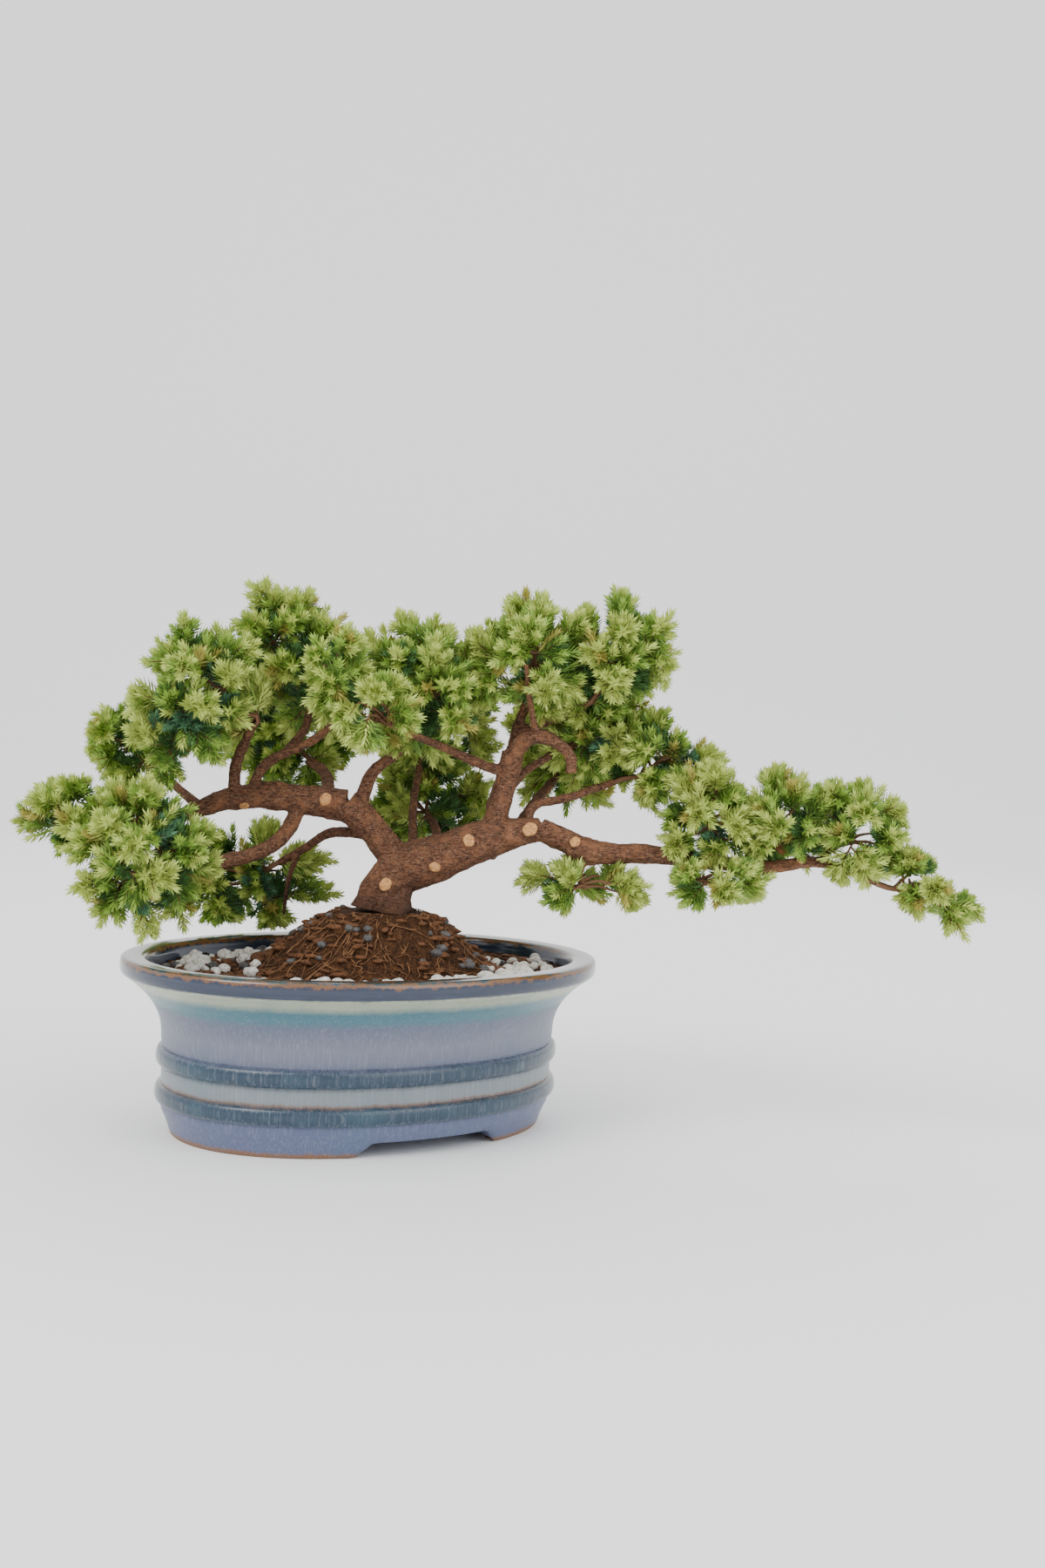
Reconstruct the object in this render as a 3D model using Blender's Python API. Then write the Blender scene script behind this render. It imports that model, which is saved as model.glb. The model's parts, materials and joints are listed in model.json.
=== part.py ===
"""Juniper bonsai with a long right arm, in an oval glazed pot.

Sizes and places are in millimetres, measured from the middle of the pot on the
ground: X runs to the right along the crown, Y to the back and Z up. Meshes are
made in metres. The last step sets the origin to the middle of the whole plant's
box, on the ground.
"""

import math
import random
from collections import namedtuple

import bmesh
import bpy
from mathutils import Matrix, Vector
from mathutils.bvhtree import BVHTree

MM = 0.001
GAP = 0.3

# Pot: an oval with a flared lip, two ridges and two feet
POT_HALF_LENGTH = 102.0
POT_HALF_WIDTH = 77.0
POT_HEIGHT = 70.0
POT_ROUNDNESS = 2.1
POT_TURN = math.radians(36)
POT_SIDES = 36
LIP_BOTTOM = 64.0
RIM_WIDTH = 10.0
WALL = 6.0
INSIDE_HEIGHTS = (60.0, 48.0, 20.0)
WAIST = 17.0
WAIST_HEIGHT = 38.0
FLARE_POWER = 2.4
RIDGE_HEIGHTS = (16.5, 31.0)
RIDGE_HALF = 3.6
RIDGE_OUT = 1.9
FOOT_IN = 21.7
FOOT_WIDTH = 8.0
RECESS = 7.0
FLOOR = 13.0
ARCH_HALF = 33.0
ARCH_HEIGHT = 6.0
ARCH_SLOPE = 7.0

# Soil: level at the wall, with a mound that carries the trunk on a flat seat
SOIL_EDGE = 64.5
SOIL_LEAN = 0.6
SEAT_HEIGHT = 88.0
SEAT_RADIUS = 15.0
SEAT = (5.5, 0.0)
MOUND_RINGS = (0.62, 0.45, 0.28, 0.12)
MOUND_REACH = 0.62

# Trunk: from the flat cut on the soil to the fork, leaning right
TRUNK_PATH = (
    (5.5, 0, SEAT_HEIGHT + GAP),
    (7.0, 0, 96),
    (12.0, 0, 104.5),
    (21.4, -2, 108.5),
    (30.2, -3, 112),
    (42.4, -4, 118),
    (56.4, -3, 122.3),
    (68.8, 0, 124.7),
)
TRUNK_RADII = (11.5, 9.8, 10.0, 9.6, 8.7, 8.0, 6.3, 4.8)
TRUNK_SIDES = 12
ROOT_LOBES = 4
ROOT_SWELL = 0.16
ROOT_FLARE_HEIGHT = 7.0

# Limbs: parent, how far along it the limb starts, the points that its bends
# need, its tip, and its radii from base to tip
Limb = namedtuple("Limb", "parent at via tip radii")
LIMBS = {
    "left_bough": Limb(
        "trunk", 0.27, [(4.8, 0, 116), (-2.8, 0, 125.2)], (-11, 0, 130.6), (6.2, 5.8, 6.6)
    ),
    "left_bough_outer": Limb(
        "left_bough", 1.0,
        [(-31.7, -1, 132.6), (-46, -2, 133.4), (-59, -3, 131)],
        (-75.5, -5, 124.6), (6.6, 5.4, 3.2),
    ),
    "far_left_bough": Limb("left_bough_outer", 1.0, [(-83, -7, 122)], (-92, -9, 120.5), (2.6, 1.8)),
    "left_back_bough": Limb("left_bough_outer", 0.9, [(-82, 10, 134)], (-96, 22, 143), (2.2, 1.5)),
    "lower_left_bough": Limb(
        "left_bough_outer", 0.27, [(-36, -6, 117), (-48, -14, 109.5)], (-69.5, -31, 105), (3.3, 2.6)
    ),
    "left_upper_bough": Limb("left_bough_outer", 0.7, [(-55.5, -8, 146)], (-48.5, -17, 161.5), (2.6, 1.8)),
    "left_riser": Limb(
        "left_bough_outer", 0.6, [(-43.7, -5, 146.5), (-24, -9, 157.5)], (-13.5, -19, 167.5), (2.3, 1.4)
    ),
    "upper_left_bough": Limb("left_riser", 0.45, [(-29.5, 0, 161)], (-28, 3, 169.5), (2.0, 1.6)),
    "low_back_bough": Limb(
        "left_bough", 0.5, [(-17, 12, 118.5), (-31, 24, 110)], (-41, 32.5, 103.5), (2.4, 1.6)
    ),
    "hanging_twig": Limb("low_back_bough", 0.8, [(-36.5, 24, 96)], (-38, 25, 82), (1.4, 0.8)),
    "rear_left_bough": Limb("left_bough_outer", 0.12, [(-22, 24, 141)], (-32, 42, 147.5), (3.0, 1.9)),
    "centre_bough": Limb("left_bough", 0.84, [(-1.5, 0, 143.6), (8, 2, 152.5)], (11.5, 3, 157), (3.2, 1.9)),
    "rear_upright": Limb("trunk", 0.3, [(15, 26, 131)], (16, 43, 147), (2.0, 1.5)),
    "rear_centre_bough": Limb("trunk", 0.45, [(25, 26, 121)], (21, 42, 125), (2.4, 1.6)),
    "rear_right_bough": Limb("trunk", 0.86, [(66, 22, 134)], (74, 40, 143.5), (2.6, 1.8)),
    "upright_bough": Limb("trunk", 0.73, [(52.5, 0, 137)], (56.4, 0, 155.5), (4.9, 4.2)),
    "hook_bough": Limb(
        "upright_bough", 1.0,
        [(62, -4, 161.5), (70, -7, 162.5), (79, -8, 156.5)],
        (80.5, -8, 148.5), (3.6, 2.8, 2.0),
    ),
    "dead_twig": Limb("hook_bough", 0.36, [(62, -17, 178)], (60, -27, 191), (1.6, 0.9)),
    "crown_bough": Limb("upright_bough", 0.88, [(57, 9, 164)], (61, 7, 176.5), (2.5, 1.9)),
    "crown_bough_right": Limb("crown_bough", 0.55, [(70, 10, 169)], (82.5, 8.5, 175.5), (1.9, 1.5)),
    "right_back_bough": Limb("upright_bough", 0.45, [(61, 10, 147)], (72, 16, 155), (2.1, 1.5)),
    "left_arm": Limb(
        "upright_bough", 0.78, [(44.5, -3, 150), (31.6, -11, 155.2)], (15.5, -23, 161.5), (2.2, 1.5)
    ),
    "right_mid_bough": Limb("trunk", 0.93, [(66, 4, 134), (80, 8, 138)], (99, 14, 145), (2.0, 1.5)),
    "right_arm": Limb(
        "trunk", 1.0,
        [(79.7, 0, 120.6), (90.7, 0, 116.2), (113.9, 0, 116.5)],
        (142.7, 0, 114.4), (4.6, 4.4, 3.6, 3.2),
    ),
    "right_arm_outer": Limb(
        "right_arm", 1.0,
        [(162.4, 0, 113.6), (181, 0, 116.5), (194.6, 0, 114.2)],
        (208, 0, 109.4), (3.1, 2.4, 1.7),
    ),
    "burl_twig": Limb("right_arm", 0.28, [], (86, -1, 106.5), (1.8, 1.3)),
    "lower_arm_twig": Limb("right_arm", 0.78, [], (132, -4, 110), (1.6, 1.1)),
    "arm_twig_a": Limb("right_arm", 0.66, [], (125, 2, 122), (1.7, 1.2)),
    "arm_twig_b": Limb("right_arm_outer", 0.16, [], (159, -1, 120), (1.6, 1.2)),
    "arm_twig_c": Limb("right_arm_outer", 0.62, [], (190, 1, 122.5), (1.5, 1.1)),
}
BURL = "right_arm"
BURL_AT = 0.28
BURL_LENGTH = 6.0
BURL_SWELL = 1.3
RING_STEP = 7.0
THICK_LIMB = 4.0
THICK_SIDES = 8
THIN_SIDES = 6

# Foliage masses: the limb that carries each, its middle, its half sizes, how
# much it rises for each millimetre to the right, and how many sprays it has
Mass = namedtuple("Mass", "limb middle half slope sprays")
MASSES = {
    "foliage_far_left": Mass("far_left_bough", (-114, -10, 119.5), (25, 19, 15), -0.15, 12),
    "foliage_left_front": Mass("lower_left_bough", (-83, -50, 110), (24, 23, 27), 0.0, 16),
    "foliage_left_upper": Mass("left_upper_bough", (-70, -22, 170), (23, 25, 31), 0.35, 18),
    "foliage_left_back": Mass("left_back_bough", (-107, 30, 151), (17, 20, 17), 0.0, 10),
    "foliage_upper_left": Mass("upper_left_bough", (-35, 12, 190), (26, 25, 27), -0.3, 16),
    "foliage_front_small": Mass("left_riser", (-14, -28, 183), (12, 14, 17), 0.0, 7),
    "foliage_centre": Mass("centre_bough", (19, 0, 180), (27, 26, 28), 0.0, 16),
    "foliage_centre_front": Mass("left_arm", (2, -35, 169), (15, 14, 14), 0.0, 7),
    "foliage_crown_right_inner": Mass("crown_bough", (62, -4, 195), (22, 24, 23), 0.0, 14),
    "foliage_crown_right": Mass("crown_bough_right", (96, 8, 196), (23, 25, 24), 0.3, 15),
    "foliage_right_back": Mass("right_back_bough", (92, 26, 163), (22, 22, 22), 0.0, 11),
    "foliage_right_middle": Mass("right_mid_bough", (124, 18, 151), (25, 21, 19), -0.45, 12),
    "foliage_under_burl": Mass("burl_twig", (89, -1, 103), (24, 13, 11), 0.0, 8),
    "foliage_under_arm": Mass("lower_arm_twig", (143, -8, 106.5), (21, 13, 10), 0.0, 7),
    "foliage_arm_a": Mass("arm_twig_a", (138, 0, 132), (18, 18, 20), 0.0, 10),
    "foliage_arm_b": Mass("arm_twig_b", (168, 0, 131), (18, 17, 20), 0.0, 10),
    "foliage_arm_c": Mass("arm_twig_c", (199, 0, 129), (20, 17, 21), -0.3, 10),
    "foliage_arm_tip": Mass("right_arm_outer", (228, 0, 107.5), (22, 14, 12), -0.62, 11),
    "foliage_low_left_back": Mass("low_back_bough", (-60, 49, 94), (37, 20, 22), 0.0, 14),
    "foliage_behind_trunk": Mass("rear_centre_bough", (18, 63, 129), (28, 22, 21), 0.0, 11),
    "foliage_rear_left": Mass("rear_left_bough", (-44, 62, 158), (28, 24, 28), 0.0, 13),
    "foliage_rear_centre": Mass("rear_upright", (22, 63, 168), (28, 24, 27), 0.0, 13),
    "foliage_rear_right": Mass("rear_right_bough", (80, 60, 158), (25, 24, 27), 0.0, 12),
}
LOWEST_LEAF = 72.0
STEM_LOW = 0.15
STEM_BEND = 0.3
STEM_RADIUS = 1.7
TWIGS = 4
TWIG_REACH = 0.4
TWIG_STEP = 9.0
TWIG_BOW = 0.1
TWIG_RADIUS = 1.3
TWIG_TIP_RADIUS = 0.9
TWIG_SIDES = 3
LOWEST_TWIG = -0.3
LOWEST_SPRAY = -0.85
UNEVEN = 0.12
SPRAY_REACH = 1.08
TOOTH_REACH = 1.18
SHRINK_STEPS = 8
SHRINK = 0.06
TURNS = 5
FORKS_TRIED = 5
MIN_SPRAY = 12.0
SPRAY_WIDTH = 0.6
SPRAY_THICKNESS = 1.8
ROOT_SUNK = 0.8
THICKEST = 0.38
TEETH = 2
FIRST_TOOTH = 0.44
TOOTH_STEP = 0.32
TOOTH_NARROWS = 0.16
NOTCH_ABOVE = 0.07
NOTCH_WIDE = 0.22
SAMPLE_STEP = 3.0
LEAF_CLEARANCE = 1.5
TWIG_CLEARANCE = 2.2
CELL_CLEARANCE = 0.4

GOLDEN_ANGLE = math.pi * (3 - math.sqrt(5))

# Colour, roughness and metallic value of each material
FINISHES = {
    "glaze": ((0.10, 0.17, 0.27), 0.15, 0.0),
    "earth": ((0.09, 0.04, 0.02), 0.95, 0.0),
    "bark": ((0.27, 0.13, 0.08), 0.85, 0.0),
    "needles": ((0.20, 0.36, 0.08), 0.60, 0.0),
}


def clear_scene():
    for obj in list(bpy.data.objects):
        bpy.data.objects.remove(obj)


def make_material(name):
    colour, roughness, metallic = FINISHES[name.split(".")[0]]
    material = bpy.data.materials.new(name)
    material.use_nodes = True
    shader = material.node_tree.nodes["Principled BSDF"]
    shader.inputs["Base Color"].default_value = (*colour, 1)
    shader.inputs["Roughness"].default_value = roughness
    shader.inputs["Metallic"].default_value = metallic
    return material


def make_object(name, points, faces, collection=None):
    """A mesh object from points in millimetres."""
    mesh = bpy.data.meshes.new(name)
    mesh.from_pydata([Vector(p) * MM for p in points], [], faces)
    obj = bpy.data.objects.new(name, mesh)
    (collection or bpy.context.scene.collection).objects.link(obj)
    return obj


def skin(rings):
    """Faces that join rings of equal length, with both ends closed."""
    sides = len(rings[0])
    points = [p for ring in rings for p in ring]
    faces = []
    for i in range(len(rings) - 1):
        for j in range(sides):
            k = (j + 1) % sides
            a = i * sides
            b = a + sides
            faces.append((a + j, a + k, b + k, b + j))
    faces.append(tuple(reversed(range(sides))))
    last = (len(rings) - 1) * sides
    faces.append(tuple(range(last, last + sides)))
    return points, faces


def face_outwards(obj):
    bm = bmesh.new()
    bm.from_mesh(obj.data)
    bmesh.ops.recalc_face_normals(bm, faces=bm.faces)
    if bm.calc_volume(signed=True) < 0:
        bmesh.ops.reverse_faces(bm, faces=bm.faces)
    bm.to_mesh(obj.data)
    bm.free()


def smooth_rounds(obj, angle=math.radians(40)):
    obj.data.shade_smooth()
    obj.data.set_sharp_from_angle(angle=angle)


# Curves and tubes


def smooth_curve(points, step):
    """A Catmull-Rom curve through the points, with a place about every step."""
    pts = [Vector(p) for p in points]
    pts = [2 * pts[0] - pts[1], *pts, 2 * pts[-1] - pts[-2]]
    curve = [pts[1]]
    for a, b, c, d in zip(pts, pts[1:], pts[2:], pts[3:]):
        count = max(1, round((c - b).length / step))
        for i in range(1, count + 1):
            t = i / count
            square = (2 * a - 5 * b + 4 * c - d) * t**2
            cube = (3 * b - a - 3 * c + d) * t**3
            curve.append(0.5 * (2 * b + (c - a) * t + square + cube))
    return curve


def lengths_along(path):
    total = [0.0]
    for a, b in zip(path, path[1:]):
        total.append(total[-1] + (b - a).length)
    return total


def point_at(path, share):
    """The place and direction at this share of the path's length."""
    along = lengths_along(path)
    wanted = share * along[-1]
    for i in range(len(path) - 1):
        if along[i + 1] >= wanted or i == len(path) - 2:
            span = along[i + 1] - along[i]
            t = (wanted - along[i]) / span
            return path[i].lerp(path[i + 1], t), (path[i + 1] - path[i]).normalized()


def spread(values, count):
    """These values read evenly at count places."""
    found = []
    for i in range(count):
        place = i / (count - 1) * (len(values) - 1)
        low = min(int(place), len(values) - 2)
        found.append(values[low] + (values[low + 1] - values[low]) * (place - low))
    return found


def tangents_of(path, lead=None):
    found = []
    for i in range(len(path)):
        before = path[max(i - 1, 0)]
        after = path[min(i + 1, len(path) - 1)]
        found.append((after - before).normalized())
    if lead is not None:
        found[0] = Vector(lead).normalized()
    return found


def tube_rings(path, radii, sides, lead=None, flute=None):
    """Rings round a path, turned as little as possible from one to the next."""
    tangents = tangents_of(path, lead)
    across = tangents[0].orthogonal().normalized()
    rings = []
    for i, (place, tangent, radius) in enumerate(zip(path, tangents, radii)):
        across = (across - tangent * across.dot(tangent)).normalized()
        up = tangent.cross(across)
        ring = []
        for j in range(sides):
            angle = 2 * math.pi * j / sides
            reach = radius * (flute(i, angle) if flute else 1)
            ring.append(place + reach * (math.cos(angle) * across + math.sin(angle) * up))
        rings.append(ring)
    return rings


# Pot and soil


def flare(height):
    """How far inside the lip the outer wall lies, from the waist to the lip."""
    share = (height - WAIST_HEIGHT) / (LIP_BOTTOM - WAIST_HEIGHT)
    return WAIST * (1 - share**FLARE_POWER)


def oval(inset, height):
    """A ring of the pot's outline, this far inside its lip."""
    power = 2 / POT_ROUNDNESS
    ring = []
    for i in range(POT_SIDES):
        angle = 2 * math.pi * i / POT_SIDES
        x = (POT_HALF_LENGTH - inset) * math.copysign(abs(math.cos(angle)) ** power, math.cos(angle))
        y = (POT_HALF_WIDTH - inset) * math.copysign(abs(math.sin(angle)) ** power, math.sin(angle))
        ring.append(
            Vector(
                (
                    x * math.cos(POT_TURN) - y * math.sin(POT_TURN),
                    x * math.sin(POT_TURN) + y * math.cos(POT_TURN),
                    height,
                )
            )
        )
    return ring


def ridge(height):
    """The profile of one raised ridge."""
    crest = RIDGE_HALF * 0.45
    return [
        (WAIST + 0.6, height - RIDGE_HALF),
        (WAIST - RIDGE_OUT, height - crest),
        (WAIST - RIDGE_OUT, height + crest),
        (WAIST + 0.4, height + RIDGE_HALF),
    ]


def inner_profile():
    """The inside of the pot, from below the rim to the floor."""
    top, middle, low = INSIDE_HEIGHTS
    return [
        (flare(top) + WALL, top),
        (flare(middle) + WALL, middle),
        (WAIST + WALL + 2, low),
        (WAIST + WALL + 8, FLOOR),
    ]


def make_pot():
    profile = [(FOOT_IN + FOOT_WIDTH, RECESS), (FOOT_IN + FOOT_WIDTH - 0.5, 0), (FOOT_IN, 0)]
    profile.append(((FOOT_IN + WAIST) / 2, 9))
    for height in RIDGE_HEIGHTS:
        profile += ridge(height)
    profile += [(flare(height), height) for height in (WAIST_HEIGHT, 48, 56, 61.5)]
    profile += [(0, LIP_BOTTOM + 0.7), (0, POT_HEIGHT - 1.5), (1.5, POT_HEIGHT)]
    profile += [(RIM_WIDTH - 1, POT_HEIGHT), (RIM_WIDTH + 0.6, POT_HEIGHT - 4)]
    profile += inner_profile()
    pot = make_object("pot", *skin([oval(inset, height) for inset, height in profile]))
    face_outwards(pot)
    cut_arches(pot)
    smooth_rounds(pot)
    return pot


def cut_arches(pot):
    """Front and back arches between the two feet, by one cutter across the pot."""
    below = 5.0
    widen = ARCH_SLOPE / ARCH_HEIGHT * below
    section = [
        (-ARCH_HALF - widen, -below),
        (ARCH_HALF + widen, -below),
        (ARCH_HALF - ARCH_SLOPE, ARCH_HEIGHT),
        (ARCH_SLOPE - ARCH_HALF, ARCH_HEIGHT),
    ]
    rings = []
    for y in (-POT_HALF_WIDTH, POT_HALF_WIDTH):
        turned = Matrix.Rotation(POT_TURN, 3, "Z")
        rings.append([turned @ Vector((x, y, z)) for x, z in section])
    cutter = make_object("foot_arch_cutter", *skin(rings))
    face_outwards(cutter)
    cutter.hide_render = True
    cutter.display_type = "WIRE"
    cut = pot.modifiers.new("foot arches", "BOOLEAN")
    cut.operation = "DIFFERENCE"
    cut.object = cutter


def make_soil():
    clear = GAP + 0.1
    top, middle, low, floor = inner_profile()
    rings = [
        oval(floor[0] + clear, FLOOR + clear),
        oval(low[0] + clear, low[1]),
        oval(middle[0] + clear, middle[1]),
        oval(top[0] + clear - SOIL_LEAN, SOIL_EDGE),
    ]
    edge = rings[-1]
    seat = []
    for i in range(POT_SIDES):
        angle = 2 * math.pi * i / POT_SIDES + POT_TURN
        out = Vector((math.cos(angle), math.sin(angle), 0)) * SEAT_RADIUS
        seat.append(out + Vector((*SEAT, SEAT_HEIGHT)))
    for share in MOUND_RINGS:
        rise = 0.5 + 0.5 * math.cos(math.pi * min(1, share / MOUND_REACH))
        ring = []
        for inner, outer in zip(seat, edge):
            place = inner.lerp(outer, share)
            place.z = SOIL_EDGE + (SEAT_HEIGHT - SOIL_EDGE) * rise
            ring.append(place)
        rings.append(ring)
    rings.append(seat)
    soil = make_object("soil", *skin(rings))
    face_outwards(soil)
    smooth_rounds(soil)
    return soil


# Trunk and limbs

built_limbs = {}
Built = namedtuple("Built", "path radii sides lead")


def root_flute(heights):
    """Lobes of the root flare, which fade out up the trunk."""

    def flute(i, angle):
        fade = math.exp(-heights[i] / ROOT_FLARE_HEIGHT)
        return 1 + fade * ROOT_SWELL * (0.6 + math.cos(ROOT_LOBES * angle + 0.7))

    return flute


def make_trunk():
    path = smooth_curve(TRUNK_PATH, RING_STEP)
    radii = spread(TRUNK_RADII, len(path))
    heights = [place.z - path[0].z for place in path]
    rings = tube_rings(path, radii, TRUNK_SIDES, (0, 0, 1), root_flute(heights))
    trunk = make_object("trunk", *skin(rings))
    built_limbs["trunk"] = Built(path, radii, TRUNK_SIDES, (0, 0, 1))
    face_outwards(trunk)
    smooth_rounds(trunk)
    return trunk


def limb_lines(name):
    """(path, radii, sides, lead) of one limb, from its parent and its own sizes."""
    limb = LIMBS[name]
    parent = built_limbs[limb.parent]
    start, direction = point_at(parent.path, limb.at)
    lead = None
    if limb.at == 1.0:
        start = start + GAP * direction
        lead = direction
    path = smooth_curve([start, *limb.via, limb.tip], RING_STEP)
    if len(path) < 3:
        path = [path[0], path[0].lerp(path[-1], 0.5), path[-1]]
    radii = spread(limb.radii, len(path))
    if name == BURL:
        along = lengths_along(path)
        for i, place in enumerate(along):
            radii[i] += BURL_SWELL * math.exp(-(((place - BURL_AT * along[-1]) / BURL_LENGTH) ** 2))
    return path, radii, THICK_SIDES if limb.radii[0] >= THICK_LIMB else THIN_SIDES, lead


def swollen(name):
    """A cutter that is a limb with the gap round it."""
    built = built_limbs[name]
    grow = (GAP + 0.05) / math.cos(math.pi / built.sides)
    path = list(built.path)
    path[0] = path[0] - Vector(built.lead or path[1] - path[0]).normalized() * grow
    path[-1] = path[-1] + (path[-1] - path[-2]).normalized() * grow
    radii = [radius + grow for radius in built.radii]
    cutter = make_object("cutter", *skin(tube_rings(path, radii, built.sides, built.lead)))
    face_outwards(cutter)
    return cutter


def near(name, path, radii):
    """True if a built limb comes within reach of this one."""
    built = built_limbs[name]
    for place, radius in zip(path, radii):
        for other, wide in zip(built.path, built.radii):
            if (place - other).length < radius + wide + RING_STEP:
                return True
    return False


def apply_modifiers(obj):
    graph = bpy.context.evaluated_depsgraph_get()
    mesh = bpy.data.meshes.new_from_object(obj.evaluated_get(graph))
    old = obj.data
    obj.modifiers.clear()
    obj.data = mesh
    bpy.data.meshes.remove(old)
    mesh.name = obj.name


def keep_island(obj, holds):
    """Keeps only the connected piece whose faces score highest."""
    bm = bmesh.new()
    bm.from_mesh(obj.data)
    bmesh.ops.remove_doubles(bm, verts=bm.verts, dist=1e-7)
    left = set(bm.verts)
    islands = []
    while left:
        todo = [left.pop()]
        island = set(todo)
        while todo:
            vert = todo.pop()
            for edge in vert.link_edges:
                other = edge.other_vert(vert)
                if other in left:
                    left.discard(other)
                    island.add(other)
                    todo.append(other)
        islands.append(island)
    islands.sort(key=holds)
    for island in islands[:-1]:
        bmesh.ops.delete(bm, geom=list(island), context="VERTS")
    bm.to_mesh(obj.data)
    bm.free()


def is_closed(obj):
    bm = bmesh.new()
    bm.from_mesh(obj.data)
    closed = all(edge.is_manifold for edge in bm.edges) and len(bm.faces) > 0
    bm.free()
    return closed


def make_limb(name):
    path, radii, sides, lead = limb_lines(name)
    limb = make_object(name, *skin(tube_rings(path, radii, sides, lead)))
    face_outwards(limb)
    cutters = []
    for other in built_limbs:
        if other == LIMBS[name].parent and LIMBS[name].at == 1.0:
            continue
        if near(other, path, radii):
            cutter = swollen(other)
            cutters.append(cutter)
            cut = limb.modifiers.new(other, "BOOLEAN")
            cut.operation = "DIFFERENCE"
            cut.object = cutter
    if cutters:
        apply_modifiers(limb)
        tip = path[-1] * MM
        keep_island(limb, lambda island: -min((vert.co - tip).length for vert in island))
    for cutter in cutters:
        bpy.data.objects.remove(cutter)
    built_limbs[name] = Built(path, radii, sides, lead)
    smooth_rounds(limb)
    return limb


# Foliage


def support(mass, direction):
    """How far a mass reaches from its middle in a direction."""
    x, y, z = direction
    leaning = (x + mass.slope * z, y, z)
    return math.sqrt(sum((h * d) ** 2 for h, d in zip(mass.half, leaning)))


def walls_of(name):
    """Planes that part this mass from each other one, as (point, direction)."""
    mass = MASSES[name]
    middle = Vector(mass.middle)
    walls = []
    for other_name, other in MASSES.items():
        if other_name == name:
            continue
        apart = Vector(other.middle) - middle
        direction = apart.normalized()
        own = support(mass, direction)
        share = own / (own + support(other, direction))
        walls.append((middle + apart * share, direction))
    return walls


class Space:
    """The room of one mass: an ellipsoid, cut by its walls, clear of the limbs."""

    def __init__(self, name):
        mass = MASSES[name]
        self.middle = Vector(mass.middle)
        self.half = Vector(mass.half)
        self.slope = mass.slope
        self.walls = walls_of(name)
        self.limbs = self.limbs_near(max(mass.half) * TOOTH_REACH + LEAF_CLEARANCE)

    def limbs_near(self, reach):
        found = []
        for built in built_limbs.values():
            lines = zip(built.path, built.path[1:], built.radii, built.radii[1:])
            for a, b, wide, narrow in lines:
                if (a.lerp(b, 0.5) - self.middle).length < reach + (b - a).length / 2 + wide:
                    found.append((a, b, wide, narrow))
        return found

    def at(self, direction, share):
        offset = Vector([d * h * share for d, h in zip(direction, self.half)])
        offset.z += self.slope * offset.x
        return self.middle + offset

    def holds(self, place, reach):
        offset = place - self.middle
        offset.z -= self.slope * offset.x
        if sum((o / h) ** 2 for o, h in zip(offset, self.half)) > reach**2:
            return False
        if place.z < LOWEST_LEAF:
            return False
        return all((place - point).dot(normal) < -CELL_CLEARANCE for point, normal in self.walls)

    def clear_of_limbs(self, place, room):
        for a, b, wide, narrow in self.limbs:
            span = b - a
            t = min(1, max(0, (place - a).dot(span) / span.length_squared))
            if (place - a - span * t).length < wide + (narrow - wide) * t + room:
                return False
        return True


def even_directions(count, rng, lowest):
    """Directions spread evenly over a ball, from the top to the lowest height."""
    found = []
    turn = rng.uniform(0, 2 * math.pi)
    for i in range(count):
        z = 1 - (1 - lowest) * (i + 0.5) / count
        angle = turn + GOLDEN_ANGLE * i
        flat = math.sqrt(1 - z * z)
        direction = Vector((flat * math.cos(angle), flat * math.sin(angle), z))
        direction += Vector([rng.uniform(-UNEVEN, UNEVEN) for _ in range(3)])
        found.append(direction.normalized())
    return found


def reaching_directions(space):
    """The directions in which the ellipsoid reaches furthest along each axis."""
    found = []
    for axis in range(3):
        for sign in (1, -1):
            way = Vector([sign if i == axis else 0 for i in range(3)])
            way.x += space.slope * way.z
            found.append(Vector([w * h for w, h in zip(way, space.half)]).normalized())
    return found


def line_samples(a, b):
    count = max(1, math.ceil((b - a).length / SAMPLE_STEP))
    return [a.lerp(b, i / count) for i in range(count + 1)]


class Spray:
    """A toothed blade from a root to a tip, thickest in its middle."""

    def __init__(self, root, tip, turn):
        along = tip - root
        length = along.length
        along = along.normalized()
        across = Matrix.Rotation(turn, 3, along) @ along.orthogonal().normalized()
        half = []
        for i in range(TEETH):
            share = FIRST_TOOTH + TOOTH_STEP * i
            half.append((share, 0.5 - TOOTH_NARROWS * i))
            if i < TEETH - 1:
                half.append((share + NOTCH_ABOVE, NOTCH_WIDE))
        blade = across * SPRAY_WIDTH
        places = [(along * length * share, blade * length * wide) for share, wide in half]
        right = [root + up + out for up, out in places]
        left = [root + up - out for up, out in reversed(places)]
        middle = root + along * length * THICKEST
        thin = along.cross(across) * SPRAY_THICKNESS / 2
        count = 2 * len(half) + 2
        self.outline = [root] + right + [tip] + left
        self.points = self.outline + [middle + thin, middle - thin]
        self.faces = [(i, (i + 1) % count, count) for i in range(count)]
        self.faces += [((i + 1) % count, i, count + 1) for i in range(count)]
        self.rib = line_samples(middle, tip)
        self.tree = BVHTree.FromPolygons(self.points, self.faces)

    def fits(self, space, others):
        """True if it stays in its space, off the limbs and off the other sprays."""
        edges = zip(self.outline[1:-1], self.outline[2:])
        rim = [place for a, b in edges for place in line_samples(a, b)]
        if not all(space.holds(place, TOOTH_REACH) for place in rim):
            return False
        if any(self.tree.overlap(other.tree) for other in others):
            return False
        return all(space.clear_of_limbs(place, LEAF_CLEARANCE) for place in rim + self.rib)


def make_twig(path, base, tip, sides, collection, lead=None):
    radii = spread((base, tip), len(path))
    twig = make_object("twig", *skin(tube_rings(path, radii, sides, lead)), collection)
    face_outwards(twig)
    return twig


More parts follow.
